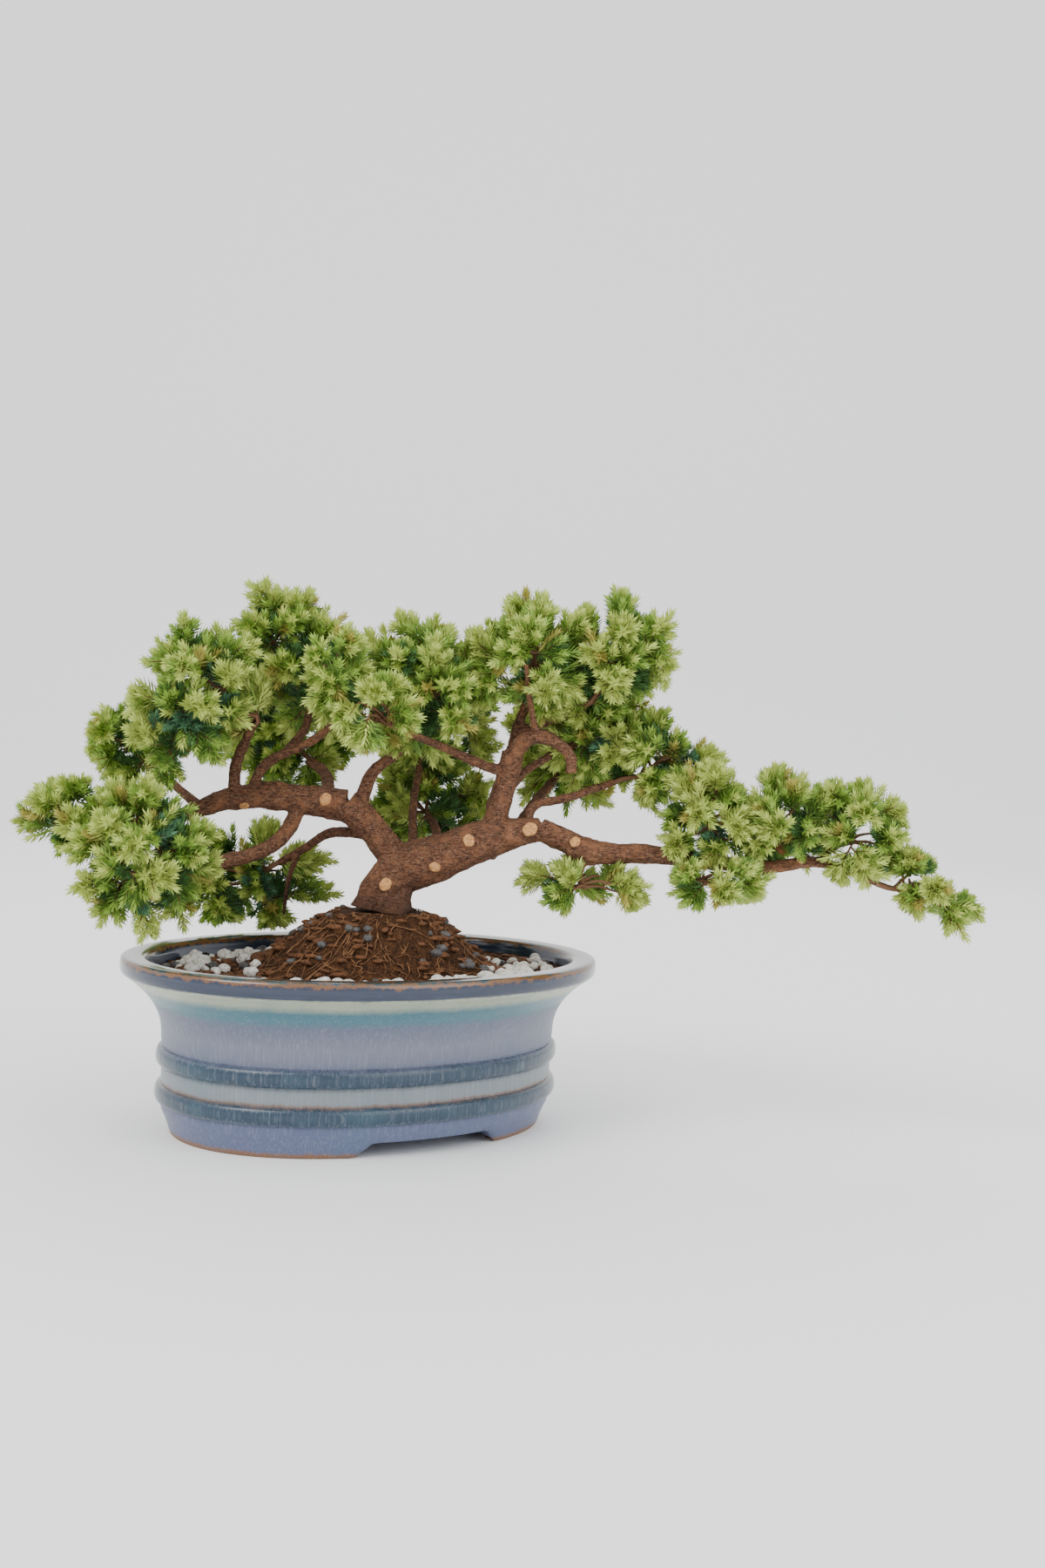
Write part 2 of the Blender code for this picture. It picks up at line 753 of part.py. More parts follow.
def bowed(start, end):
    """A short curve that bows upwards."""
    middle = start.lerp(end, 0.5)
    middle.z += TWIG_BOW * (end - start).length
    return smooth_curve([start, middle, end], TWIG_STEP)


def stem_of(name):
    """The line of a mass's stem, from its bough's tip to the middle of the mass."""
    mass = MASSES[name]
    limb = built_limbs[mass.limb]
    lead = (limb.path[-1] - limb.path[-2]).normalized()
    start = limb.path[-1] + GAP * lead
    end = Vector(mass.middle) - Vector((0, 0, STEM_LOW * mass.half[2]))
    bend = start + lead * STEM_BEND * (end - start).length
    return smooth_curve([start, bend, end], TWIG_STEP), lead


def twigs_of(stem, space, rng):
    """Twigs that fork from the stem and bow out towards the edge of the space."""
    twigs = []
    for i, direction in enumerate(even_directions(TWIGS, rng, LOWEST_TWIG)):
        start, _ = point_at(stem, 0.45 + 0.5 * (i + 1) / TWIGS)
        path = bowed(start, space.at(direction, TWIG_REACH))
        inside = all(space.holds(place, 1) for place in path[1:])
        if inside and all(space.clear_of_limbs(place, TWIG_CLEARANCE) for place in path[1:]):
            twigs.append(path)
    return twigs


def find_spray(space, forks, direction, turn, others):
    """The longest spray this way that fits, from the best of the nearest forks."""

    def cost(fork):
        away = tip - fork[0]
        return away.length * (1.5 - 0.5 * fork[1].dot(away.normalized()))

    for step in range(SHRINK_STEPS):
        tip = space.at(direction, SPRAY_REACH - SHRINK * step)
        for place, _ in sorted(forks, key=cost)[:FORKS_TRIED]:
            root = place - (tip - place).normalized() * ROOT_SUNK
            if (tip - root).length < MIN_SPRAY:
                continue
            for i in range(TURNS):
                spray = Spray(root, tip, turn + math.pi * i / TURNS)
                if spray.fits(space, others):
                    return spray
    return None


def fuse(name, stem_maker, fill):
    """One closed body from a stem and the collection of what grows on it."""
    collection = bpy.data.collections.new("growing")
    bpy.context.scene.collection.children.link(collection)
    fill(collection)
    for solver in ("EXACT", "MANIFOLD"):
        body = stem_maker()
        body.name = name
        join = body.modifiers.new("join", "BOOLEAN")
        join.operation = "UNION"
        join.solver = solver
        join.operand_type = "COLLECTION"
        join.collection = collection
        apply_modifiers(body)
        keep_island(body, len)
        if is_closed(body):
            break
        bpy.data.objects.remove(body)
    for obj in list(collection.objects):
        bpy.data.objects.remove(obj)
    bpy.data.collections.remove(collection)
    return body


def make_mass(name):
    rng = random.Random(name)
    space = Space(name)
    stem, lead = stem_of(name)
    twigs = twigs_of(stem, space, rng)
    forks = []
    for path in [stem, *twigs]:
        forks += list(zip(path, tangents_of(path)))[1:]
    sprays = []
    ways = reaching_directions(space)
    ways += even_directions(MASSES[name].sprays - len(ways), rng, LOWEST_SPRAY)
    for i, direction in enumerate(ways):
        spray = find_spray(space, forks, direction, GOLDEN_ANGLE * i, sprays)
        if spray:
            sprays.append(spray)

    def fill(collection):
        for path in twigs:
            make_twig(path, TWIG_RADIUS, TWIG_TIP_RADIUS, TWIG_SIDES, collection)
        for spray in sprays:
            face_outwards(make_object("spray", spray.points, spray.faces, collection))

    def stem_maker():
        return make_twig(stem, STEM_RADIUS, TWIG_RADIUS, TWIG_SIDES, None, lead)

    return fuse(name, stem_maker, fill)


# Assembly


def set_origin(obj, place):
    """Moves an object's own origin to a place, leaving its shape where it is."""
    obj.data.transform(Matrix.Translation(-place))
    obj.location = place


def box_of(objects):
    corners = [obj.matrix_world @ v.co for obj in objects for v in obj.data.vertices]
    low = Vector([min(c[i] for c in corners) for i in range(3)])
    high = Vector([max(c[i] for c in corners) for i in range(3)])
    return low, high


def main():
    clear_scene()
    groups = {
        "glaze": [make_pot()],
        "earth": [make_soil()],
        "bark": [make_trunk()] + [make_limb(name) for name in LIMBS],
        "needles": [make_mass(name) for name in MASSES],
    }
    for finish, objects in groups.items():
        for obj in objects:
            obj.data.materials.clear()
            obj.data.materials.append(make_material(f"{finish}.{obj.name}"))
    for obj in groups["bark"]:
        set_origin(obj, built_limbs[obj.name].path[0] * MM)
    for obj in groups["needles"]:
        set_origin(obj, stem_of(obj.name)[0][0] * MM)
    bpy.context.view_layer.update()
    nodes = [obj for objects in groups.values() for obj in objects]
    low, high = box_of(nodes)
    plant = bpy.data.objects.new("bonsai", None)
    bpy.context.scene.collection.objects.link(plant)
    for obj in [*nodes, bpy.data.objects["foot_arch_cutter"]]:
        obj.parent = plant
    plant.location = (-(low.x + high.x) / 2, -(low.y + high.y) / 2, -low.z)


main()
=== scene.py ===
"""Looks of a juniper bonsai in an oval glazed pot.

Lengths in the tables are millimetres, measured from the middle of the pot on the
ground: X runs to the right along the crown, Y to the back and Z up.
"""

import json
import math
import random
from collections import namedtuple

import bmesh
import bpy
import numpy as np
from mathutils import Matrix, Vector, noise

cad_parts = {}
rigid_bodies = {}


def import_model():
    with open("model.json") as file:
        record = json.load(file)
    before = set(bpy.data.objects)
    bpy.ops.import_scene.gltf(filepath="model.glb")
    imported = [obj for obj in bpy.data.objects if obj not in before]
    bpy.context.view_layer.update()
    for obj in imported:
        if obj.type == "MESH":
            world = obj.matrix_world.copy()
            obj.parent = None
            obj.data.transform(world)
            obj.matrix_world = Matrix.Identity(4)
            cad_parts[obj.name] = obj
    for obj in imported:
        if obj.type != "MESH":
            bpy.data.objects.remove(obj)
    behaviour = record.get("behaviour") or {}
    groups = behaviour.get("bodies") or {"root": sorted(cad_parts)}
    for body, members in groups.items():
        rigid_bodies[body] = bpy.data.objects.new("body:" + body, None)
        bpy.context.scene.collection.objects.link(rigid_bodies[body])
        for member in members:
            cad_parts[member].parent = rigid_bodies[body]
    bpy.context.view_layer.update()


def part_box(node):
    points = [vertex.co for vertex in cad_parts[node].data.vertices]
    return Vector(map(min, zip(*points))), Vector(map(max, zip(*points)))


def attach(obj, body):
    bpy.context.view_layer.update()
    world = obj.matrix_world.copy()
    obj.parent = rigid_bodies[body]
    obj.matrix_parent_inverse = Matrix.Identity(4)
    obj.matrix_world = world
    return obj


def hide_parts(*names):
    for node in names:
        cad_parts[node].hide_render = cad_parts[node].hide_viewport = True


bl_info = {
    "name": "Juniper bonsai",
    "version": (1, 0, 0),
    "blender": (4, 5, 0),
    "location": "3D View > Sidebar > Bonsai",
    "description": "Builds the pot, soil, wood and needles of a juniper bonsai",
    "category": "Object",
}

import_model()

MM = 0.001
GOLDEN_ANGLE = math.pi * (3 - math.sqrt(5))
POT_LOW, POT_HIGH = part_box("pot")
MIDDLE = Vector(((POT_LOW.x + POT_HIGH.x) / 2, (POT_LOW.y + POT_HIGH.y) / 2, POT_LOW.z))

# Pot
POT_HALF_LENGTH = 102.0
POT_HALF_WIDTH = 77.0
POT_HEIGHT = 70.0
POT_ROUNDNESS = 2.1
POT_TURN = math.radians(36)
POT_ROTATION = Matrix.Rotation(POT_TURN, 3, "Z")
POT_SIDES = 160
SHARP_ANGLE = math.radians(50)
LIP_BOTTOM = 64.0
LIP_OVERHANG = 0.5
RIM_WIDTH = 10.0
WALL = 6.0
WAIST = 17.0
WAIST_HEIGHT = 38.0
FLARE_POWER = 2.4
FLARE_STEPS = 16
RIDGE_HEIGHTS = (16.5, 31.0)
RIDGE_HALF = 3.6
RIDGE_OUT = 1.9
RIDGE_ROOT = 0.5
RIDGE_BLUNTNESS = 0.7
RIDGE_STEPS = 8
FOOT_IN = 21.7
FOOT_WIDTH = 8.0
FOOT_TOP = 12.0
FOOT_CURVE = 1.3
RECESS = 7.0
FLOOR = 13.0
ARCH_HALF = 33.0
ARCH_HEIGHT = 6.0
ARCH_SLOPE = 7.0
INSIDE_HEIGHTS = (60.0, 48.0, 20.0)

# Noises of the finishes, per millimetre
Noise = namedtuple("Noise", "scale detail roughness stretch", defaults=(4.0, 0.55, (1, 1, 1)))
RUN_NOISE = Noise(1.0, 5.0, stretch=(0.42, 0.42, 0.035))
WANDER_NOISE = Noise(1.0, 2.0, stretch=(0.07, 0.07, 0.05))
STREAK_NOISE = Noise(1.0, stretch=(1.5, 1.5, 0.05))
SPECKLE_NOISE = Noise(1.4, 6.0, 0.75)
PATCH_NOISE = Noise(0.055, 2.0)
WOBBLE_NOISE = Noise(1.0, 5.0, 0.7, (0.25, 0.25, 0.25))
# Streaks of the lip's painted sheen
PAINTED_SHEEN_NOISE = Noise(1.0, stretch=(0.05, 0.05, 0.9))
LIP_NOISE = Noise(2.2)
CLOD_NOISE = Noise(0.22, 6.0, 0.7)
SOIL_NOISE = Noise(1.3, 6.0, 0.75)
GRAIN_NOISE = Noise(0.9, 5.0, 0.7)
FIBRE_NOISE = Noise(0.35)
BARK_NOISE = Noise(0.16, 5.0, 0.65)
FLAKE_NOISE = Noise(1.1, 7.0, 0.72)
STRAND_NOISE = Noise(1.0, 5.0, 0.6, (0.35, 1.4, 1.6))
CUT_NOISE = Noise(1.2, 5.0)

# Glaze, by share of the pot's height: the colour's name, then the roughness
GLAZE_BANDS = (
    (0.000, "clay"), (0.018, "clay"), (0.035, "foot"), (0.17, "foot"), (0.20, "ridge"), (0.278, "ridge"),
    (0.295, "broken"), (0.31, "between"), (0.37, "between"), (0.405, "ridge"), (0.475, "ridge"),
    (0.50, "wall"), (0.60, "pale"), (0.72, "wall"), (0.76, "neck"), (0.81, "neck"),
    (0.855, "under_lip"), (0.895, "under_lip"), (0.915, "lip"), (1.0, "lip"),
)
GLAZE_ROUGHNESS = (
    (0.0, 0.7), (0.03, 0.38), (0.18, 0.34), (0.21, 0.10), (0.28, 0.10), (0.31, 0.36), (0.38, 0.34),
    (0.41, 0.10), (0.475, 0.12), (0.51, 0.44), (0.74, 0.40), (0.78, 0.24), (0.90, 0.28), (0.93, 0.10),
)
GLAZE_RUN = 1.6
BROKEN_GLAZE = (0.17, 0.11, 0.085)
STREAK = (0.42, 0.44, 0.50)
SPECKLE = (0.10, 0.085, 0.07)
# Painted sheen: a lighter blue that stands in for the lip's glossy reflection
LIP_PAINTED_SHEEN = (0.10, 0.15, 0.26)
LIP_SPECKLE = (0.13, 0.10, 0.07)
LIP_RIM = (0.018, 0.050, 0.058)
LIP_INSIDE = (0.014, 0.036, 0.055)
LIP_LEVELS = (60.0, 71.0)

# Soil
SOIL_EDGE = 64.5
SOIL_INSET_CHANGE = -0.2
SEAT_HEIGHT = 88.0
SEAT_RADIUS = 15.0
SEAT = (5.5, 0.0)
MOUND_REACH = 0.62
SOIL_RINGS = 64
SOIL_SIDES = 220
SOIL_FLOOR = 52.0
SOIL_FLOOR_INSET = 0.6
SOIL_RELIEF = 1.1
SOIL_FADE = 6
SOIL_SINK = 0.8
SINK_FADE = 8
CLOD = 5.0
CLOD_ROUGHNESS = 0.8
CLOD_STEP = 2.1
CLOD_LAYERS = 5
CRUMB = 1.5
CRUMB_RELIEF = 0.7
CRUMB_COLOUR = (0.22, 0.095, 0.03)

# Grains, which lie in patches of (weight, turn, spread of the turn, nearest share, furthest share)
RIGHT_TURN = -POT_TURN / math.tau
EVERYWHERE = ((1.0, 0.5, 0.4, 0.08, 0.93),)
PERLITE_PATCHES = (
    (0.62, RIGHT_TURN - 0.13, 0.10, 0.60, 0.93),
    (0.16, RIGHT_TURN + 0.5, 0.05, 0.70, 0.93),
    (0.22, 0.5, 0.4, 0.45, 0.93),
)
Grain = namedtuple("Grain", "piece finish dark roughness squash patches sunk seed")
GRAINS = {
    "perlite": Grain(
        "perlite_grains", "Perlite", (0.42, 0.36, 0.27), 0.9, (1, 0.85, 0.8), PERLITE_PATCHES, 0.45, 11
    ),
    "stone": Grain(
        "soil_stones", "Dark stone", (0.16, 0.15, 0.145), 0.6, (1, 0.8, 0.7), EVERYWHERE, 0.35, 12
    ),
    "chip": Grain("bark_chips", "Bark chip", (0.045, 0.02, 0.01), 0.9, (1, 0.5, 0.28), EVERYWHERE, 0.5, 13),
}
GRAIN_SIZES = (0.5, 1.2)
GRAIN_TILT = 0.35
LUMPS = ((0.34, 1.3), (0.16, 3.1))

# Root fibres
FIBRE_SEED = 14
FIBRE_SIDES = 5
FIBRE_STEP = 1.6
FIBRE_POINTS = (5, 11)
FIBRE_SHARES = (0.03, 0.93)
FIBRE_STARTS = (0.03, 0.8)
FIBRE_DRIFTS = (0.008, 0.028)
FIBRE_WANDERS = (0.004, 0.012)
FIBRE_ARCH = 0.7
FIBRE_WAVE = 1.3
FIBRE_RADII = (0.5, 1.5)
FIBRE_TAPER = 0.4
FIBRE_DARK = (0.07, 0.03, 0.015)

# Wood
GAP = 0.3
WOOD_STEP = 1.0
TRUNK_PATH = (
    (5.5, 0, SEAT_HEIGHT + GAP),
    (7.0, 0, 96),
    (12.0, 0, 104.5),
    (21.4, -2, 108.5),
    (30.2, -3, 112),
    (42.4, -4, 118),
    (56.4, -3, 122.3),
    (68.8, 0, 124.7),
)
TRUNK_RADII = (11.5, 9.8, 10.0, 9.6, 8.7, 8.0, 6.3, 4.8)
ROOT_LOBES = 4
ROOT_FULLNESS = 0.6
ROOT_ANGLE = 0.7
ROOT_SWELL = 0.16
ROOT_FLARE_HEIGHT = 7.0
Limb = namedtuple("Limb", "parent at via tip radii")
LIMBS = {
    "left_bough": Limb(
        "trunk", 0.27, [(4.8, 0, 116), (-2.8, 0, 125.2)], (-11, 0, 130.6), (6.2, 5.8, 6.6)
    ),
    "left_bough_outer": Limb(
        "left_bough", 1.0,
        [(-31.7, -1, 132.6), (-46, -2, 133.4), (-59, -3, 131)],
        (-75.5, -5, 124.6), (6.6, 5.4, 3.2),
    ),
    "far_left_bough": Limb("left_bough_outer", 1.0, [(-83, -7, 122)], (-92, -9, 120.5), (2.6, 1.8)),
    "left_back_bough": Limb("left_bough_outer", 0.9, [(-82, 10, 134)], (-96, 22, 143), (2.2, 1.5)),
    "lower_left_bough": Limb(
        "left_bough_outer", 0.27, [(-36, -6, 117), (-48, -14, 109.5)], (-69.5, -31, 105), (3.3, 2.6)
    ),
    "left_upper_bough": Limb("left_bough_outer", 0.7, [(-55.5, -8, 146)], (-48.5, -17, 161.5), (2.6, 1.8)),
    "left_riser": Limb(
        "left_bough_outer", 0.6, [(-43.7, -5, 146.5), (-24, -9, 157.5)], (-13.5, -19, 167.5), (2.3, 1.4)
    ),
    "upper_left_bough": Limb("left_riser", 0.45, [(-29.5, 0, 161)], (-28, 3, 169.5), (2.0, 1.6)),
    "low_back_bough": Limb(
        "left_bough", 0.5, [(-17, 12, 118.5), (-31, 24, 110)], (-41, 32.5, 103.5), (2.4, 1.6)
    ),
    "hanging_twig": Limb("low_back_bough", 0.8, [(-36.5, 24, 96)], (-38, 25, 82), (1.4, 0.8)),
    "rear_left_bough": Limb("left_bough_outer", 0.12, [(-22, 24, 141)], (-32, 42, 147.5), (3.0, 1.9)),
    "centre_bough": Limb("left_bough", 0.84, [(-1.5, 0, 143.6), (8, 2, 152.5)], (11.5, 3, 157), (3.2, 1.9)),
    "rear_upright": Limb("trunk", 0.3, [(15, 26, 131)], (16, 43, 147), (2.0, 1.5)),
    "rear_centre_bough": Limb("trunk", 0.45, [(25, 26, 121)], (21, 42, 125), (2.4, 1.6)),
    "rear_right_bough": Limb("trunk", 0.86, [(66, 22, 134)], (74, 40, 143.5), (2.6, 1.8)),
    "upright_bough": Limb("trunk", 0.73, [(52.5, 0, 137)], (56.4, 0, 155.5), (4.9, 4.2)),
    "hook_bough": Limb(
        "upright_bough", 1.0,
        [(62, -4, 161.5), (70, -7, 162.5), (79, -8, 156.5)],
        (80.5, -8, 148.5), (3.6, 2.8, 2.0),
    ),
    "dead_twig": Limb("hook_bough", 0.36, [(62, -17, 178)], (60, -27, 191), (1.6, 0.9)),
    "crown_bough": Limb("upright_bough", 0.88, [(57, 9, 164)], (61, 7, 176.5), (2.5, 1.9)),
    "crown_bough_right": Limb("crown_bough", 0.55, [(70, 10, 169)], (82.5, 8.5, 175.5), (1.9, 1.5)),
    "right_back_bough": Limb("upright_bough", 0.45, [(61, 10, 147)], (72, 16, 155), (2.1, 1.5)),
    "left_arm": Limb(
        "upright_bough", 0.78, [(44.5, -3, 150), (31.6, -11, 155.2)], (15.5, -23, 161.5), (2.2, 1.5)
    ),
    "right_mid_bough": Limb("trunk", 0.93, [(66, 4, 134), (80, 8, 138)], (99, 14, 145), (2.0, 1.5)),
    "right_arm": Limb(
        "trunk", 1.0,
        [(79.7, 0, 120.6), (90.7, 0, 116.2), (113.9, 0, 116.5)],
        (142.7, 0, 114.4), (4.6, 4.4, 3.6, 3.2),
    ),
    "right_arm_outer": Limb(
        "right_arm", 1.0,
        [(162.4, 0, 113.6), (181, 0, 116.5), (194.6, 0, 114.2)],
        (208, 0, 109.4), (3.1, 2.4, 1.7),
    ),
    "burl_twig": Limb("right_arm", 0.28, [], (86, -1, 106.5), (1.8, 1.3)),
    "lower_arm_twig": Limb("right_arm", 0.78, [], (132, -4, 110), (1.6, 1.1)),
    "arm_twig_a": Limb("right_arm", 0.66, [], (125, 2, 122), (1.7, 1.2)),
    "arm_twig_b": Limb("right_arm_outer", 0.16, [], (159, -1, 120), (1.6, 1.2)),
    "arm_twig_c": Limb("right_arm_outer", 0.62, [], (190, 1, 122.5), (1.5, 1.1)),
}
BURL = "right_arm"
BURL_AT = 0.28
BURL_LENGTH = 6.0
BURL_SWELL = 1.3
BARK_FACE = 0.9
BARK_SIDES = (12, 56)
BARK_SOFTENING = 0.35
BARK_WARM = (0.30, 0.13, 0.06)
# Heights between which painted shade darkens the bark towards the trunk's foot
PAINTED_BARK_SHADE = (88.0, 104.0)
Relief = namedtuple("Relief", "across along weight")
RIDGES = Relief(1.5, 11, 1.1)
PLATES = Relief(4, 7, 0.8)
KNOTS = Relief(5, 5, 2.4)
KNOT_START = 0.25
FULL_RELIEF_RADIUS = 5
ROUGHNESS = ((0.9, 0.16), (2.6, 0.22))
CUT_LIFT = 0.8
CUT_SIDES = 24
CUT_PROFILE = ((1.0, -0.9), (0.98, 0.05), (0.86, 0.3), (0.55, 0.36), (0.12, 0.3))
CUT_DARK = (0.30, 0.12, 0.04)
STUB_SIDES = 20
STUB_TAPER = (1.3, 1.15, 1.0)
Cut = namedtuple("Cut", "limb at out radius")
CUTS = (
    Cut("trunk", 0.14, (-0.1, -1.0, 0.1), 2.6),
    Cut("trunk", 0.42, (0.1, -1.0, -0.2), 2.2),
    Cut("trunk", 0.62, (0.0, -1.0, 0.3), 2.5),
    Cut("trunk", 0.93, (0.2, -1.0, 0.2), 3.0),
    Cut("right_arm", 0.2, (0.1, -1.0, 0.3), 2.2),
    Cut("right_arm_outer", 0.5, (0.0, -1.0, 0.5), 1.4),
    Cut("left_bough_outer", 0.1, (-0.2, -1.0, 0.3), 2.6),
    Cut("left_bough_outer", 0.62, (0.0, -0.7, -0.7), 1.9),
    Cut("left_bough", 0.5, (-0.5, 0.8, 0.4), 2.4),
    Cut("trunk", 0.55, (0.1, 1.0, 0.2), 2.6),
)

# Foliage masses, each in the room of one node
Mass = namedtuple("Mass", "limb middle half slope")
MASSES = {
    "foliage_far_left": Mass("far_left_bough", (-114, -10, 119.5), (25, 19, 15), -0.15),
    "foliage_left_front": Mass("lower_left_bough", (-83, -50, 110), (24, 23, 27), 0.0),
    "foliage_left_upper": Mass("left_upper_bough", (-70, -22, 170), (23, 25, 31), 0.35),
    "foliage_left_back": Mass("left_back_bough", (-107, 30, 151), (17, 20, 17), 0.0),
    "foliage_upper_left": Mass("upper_left_bough", (-35, 12, 190), (26, 25, 27), -0.3),
    "foliage_front_small": Mass("left_riser", (-14, -28, 183), (12, 14, 17), 0.0),
    "foliage_centre": Mass("centre_bough", (19, 0, 180), (27, 26, 28), 0.0),
    "foliage_centre_front": Mass("left_arm", (2, -35, 169), (15, 14, 14), 0.0),
    "foliage_crown_right_inner": Mass("crown_bough", (62, -4, 195), (22, 24, 23), 0.0),
    "foliage_crown_right": Mass("crown_bough_right", (96, 8, 196), (23, 25, 24), 0.3),
    "foliage_right_back": Mass("right_back_bough", (92, 26, 163), (22, 22, 22), 0.0),
    "foliage_right_middle": Mass("right_mid_bough", (124, 18, 151), (25, 21, 19), -0.45),
    "foliage_under_burl": Mass("burl_twig", (89, -1, 103), (24, 13, 11), 0.0),
    "foliage_under_arm": Mass("lower_arm_twig", (143, -8, 106.5), (21, 13, 10), 0.0),
    "foliage_arm_a": Mass("arm_twig_a", (138, 0, 132), (18, 18, 20), 0.0),
    "foliage_arm_b": Mass("arm_twig_b", (168, 0, 131), (18, 17, 20), 0.0),
    "foliage_arm_c": Mass("arm_twig_c", (199, 0, 129), (20, 17, 21), -0.3),
    "foliage_arm_tip": Mass("right_arm_outer", (228, 0, 107.5), (22, 14, 12), -0.62),
    "foliage_low_left_back": Mass("low_back_bough", (-60, 49, 94), (37, 20, 22), 0.0),
    "foliage_behind_trunk": Mass("rear_centre_bough", (18, 63, 129), (28, 22, 21), 0.0),
    "foliage_rear_left": Mass("rear_left_bough", (-44, 62, 158), (28, 24, 28), 0.0),
    "foliage_rear_centre": Mass("rear_upright", (22, 63, 168), (28, 24, 27), 0.0),
    "foliage_rear_right": Mass("rear_right_bough", (80, 60, 158), (25, 24, 27), 0.0),
}
FOLIAGE_GROUPS = {
    "left": ("far_left", "left_front", "left_upper", "left_back"),
    "left_top": ("upper_left", "front_small", "centre_front", "low_left_back"),
    "centre": ("centre", "behind_trunk", "rear_centre"),
    "crown": ("crown_right_inner", "crown_right", "right_back"),
    "rear": ("rear_left", "rear_right", "right_middle"),
    "arm": ("under_burl", "under_arm", "arm_a", "arm_b", "arm_c", "arm_tip"),
}
SHADES = ("tip", "light", "middle", "deep", "blue", "yellow", "dry")
# Painted shade: steps of green by how far out a shoot lies in its mass, shifted by a random tone
PAINTED_SHADE_AND_TONE = (("tip", 1.02), ("light", 0.84), ("middle", 0.62), ("deep", -math.inf))
TINT_VARIES = 0.35
SHOOT_VARIES = 0.3
BLUE_FROM = 0.86
YELLOW_FROM = 0.955
DRY_WITHIN = 0.55
DRY_CHANCE = 0.07
LOWEST_NEEDLE = 74.0
LIMBS_NEAR = 1.3
LIMBS_MARGIN = 8
STEM_LOW = 0.15
STEM_BEND = 0.3
STEM_START = 1.5
STEM_RADIUS = 1.6
STEM_FORKS = (0.35, 0.6)
TWIG_RADIUS = 1.0
TWIG_END = 0.5
TWIG_CLEARANCE = 0.8
PLUME_RADII = (0.55, 0.3)
SHOOT_RADIUS = 0.32
TWIG_REACH = 0.52
TWIG_BOW = 0.1
TWIG_STEP = 3.0
TWIGS = 9
LOWEST_TWIG = -0.75
LOWEST_PLUME = -0.95
UNEVEN = 0.16
PLUME_BOW = 0.12
PLUME_BOWS = (-0.2, 1.4)
PLUME_SHORTEST = 7.0
PLUME_VARIES = (0.9, 1.03)
PLUME_TRIES = 5
PLUME_PULL = 0.12
FORK_OUTWARD = 0.35
FORK_INWARD = 0.4
SHOOT_STARTS = 0.12
SHOOT_LEAN = math.radians(42)
SHOOT_LEANS = (0.8, 1.2)
SHOOT_REACH = 1.24
SHOOT_RISE = 0.12
SHOOT_TAPER = 0.45
SHOOT_LENGTHS = (0.75, 1.1)
TIP_LENGTHS = (0.7, 0.95)
SHORTER = (1.0, 0.75, 0.5)
CHECKED_AT = (0.4, 0.7, 1.0)
SHADED_AT = 0.7
PLUME_REACHES = (1.02, 0.76, 1.14, 0.6, 1.08, 0.92)
LIMB_CLEARANCE = 1.6
WALL_OVERLAP = 3.0
WHORL = 3
NEEDLE_LEAN = math.radians(44)
TIP_LEAN = math.radians(18)
NEEDLE_WIDEST = 0.38
NEEDLE_KEEL = 0.35
NEEDLE_RISE = 0.04
NEEDLE_TAPER = 0.38
NEEDLE_LENGTHS = (0.82, 1.12)
NEEDLE_WIDTHS = (0.85, 1.15)
NEEDLE_TURN_SPREAD = 0.18
NEEDLE_LEAN_SPREAD = 0.09
FULL_SHOOT = 0.6
TIPPED_FROM = 0.6

# Camera
CAMERA_PLACE = (60.8, -749.2, 170.9)
CAMERA_PITCH = 0.0373
CAMERA_ROLL = 0.0472
CAMERA_LENS = 42.0
SENSOR = 36.0
CLIP_START = 0.01

# Stage, in metres
FLOOR_WIDTH = 3.0
FLOOR_FRONT = -2.5
FLOOR_BACK = 1.6
FLOOR_BEND = 0.7
FLOOR_STEPS = 12
BACKDROP = 2.6
SKY_COLOUR = (0.97, 0.98, 1.0)
AIM = (40, 0, 110)
Lamp = namedtuple("Lamp", "power place size tint")
LAMPS = {
    "key": Lamp("key", (-0.9, -1.1, 1.5), 1.2, (1.0, 0.98, 0.95)),
    "fill": Lamp("fill", (1.3, -0.9, 0.9), 1.4, (0.95, 0.98, 1.0)),
    "back": Lamp("fill", (0.2, 1.2, 1.3), 1.2, (1.0, 1.0, 1.0)),
}


# Properties


def amount(name, description, default, **limits):
    return bpy.props.FloatProperty(name=name, description=description, default=default, **limits)


def size_mm(name, description, default):
    return amount(name, description, default * MM, unit="LENGTH", min=0, precision=5)


def number(name, description, default, least=0):
    return bpy.props.IntProperty(name=name, description=description, default=default, min=least)


def colour(name, description, default):
    return bpy.props.FloatVectorProperty(name=name, description=description, default=default,
                                         subtype="COLOR", size=3, min=0, max=1)


class PotLooks(bpy.types.PropertyGroup):
    """Colours of the glaze."""

    lip: colour("Lip", "Glossy glaze on the lip", (0.012, 0.022, 0.050))
    lip_edge: colour("Lip edge", "Where the glaze breaks on the lip's edge", (0.16, 0.07, 0.025))
    under_lip: colour("Under the lip", "Pale speckled band", (0.36, 0.40, 0.30))
    neck: colour("Neck", "Band in the neck", (0.050, 0.15, 0.19))
    wall: colour("Wall", "Satin wall", (0.105, 0.12, 0.185))
    ridge: colour("Ridge", "Glossy raised ridges", (0.010, 0.032, 0.060))
    between: colour("Between ridges", "Band between the ridges", (0.17, 0.20, 0.22))
    foot: colour("Foot", "Foot of the pot", (0.085, 0.105, 0.20))
    clay: colour("Clay", "Bare clay at the ground", (0.20, 0.095, 0.045))
    streaks: amount("Streaks", "How far the glaze has run", 0.4, min=0, max=3)


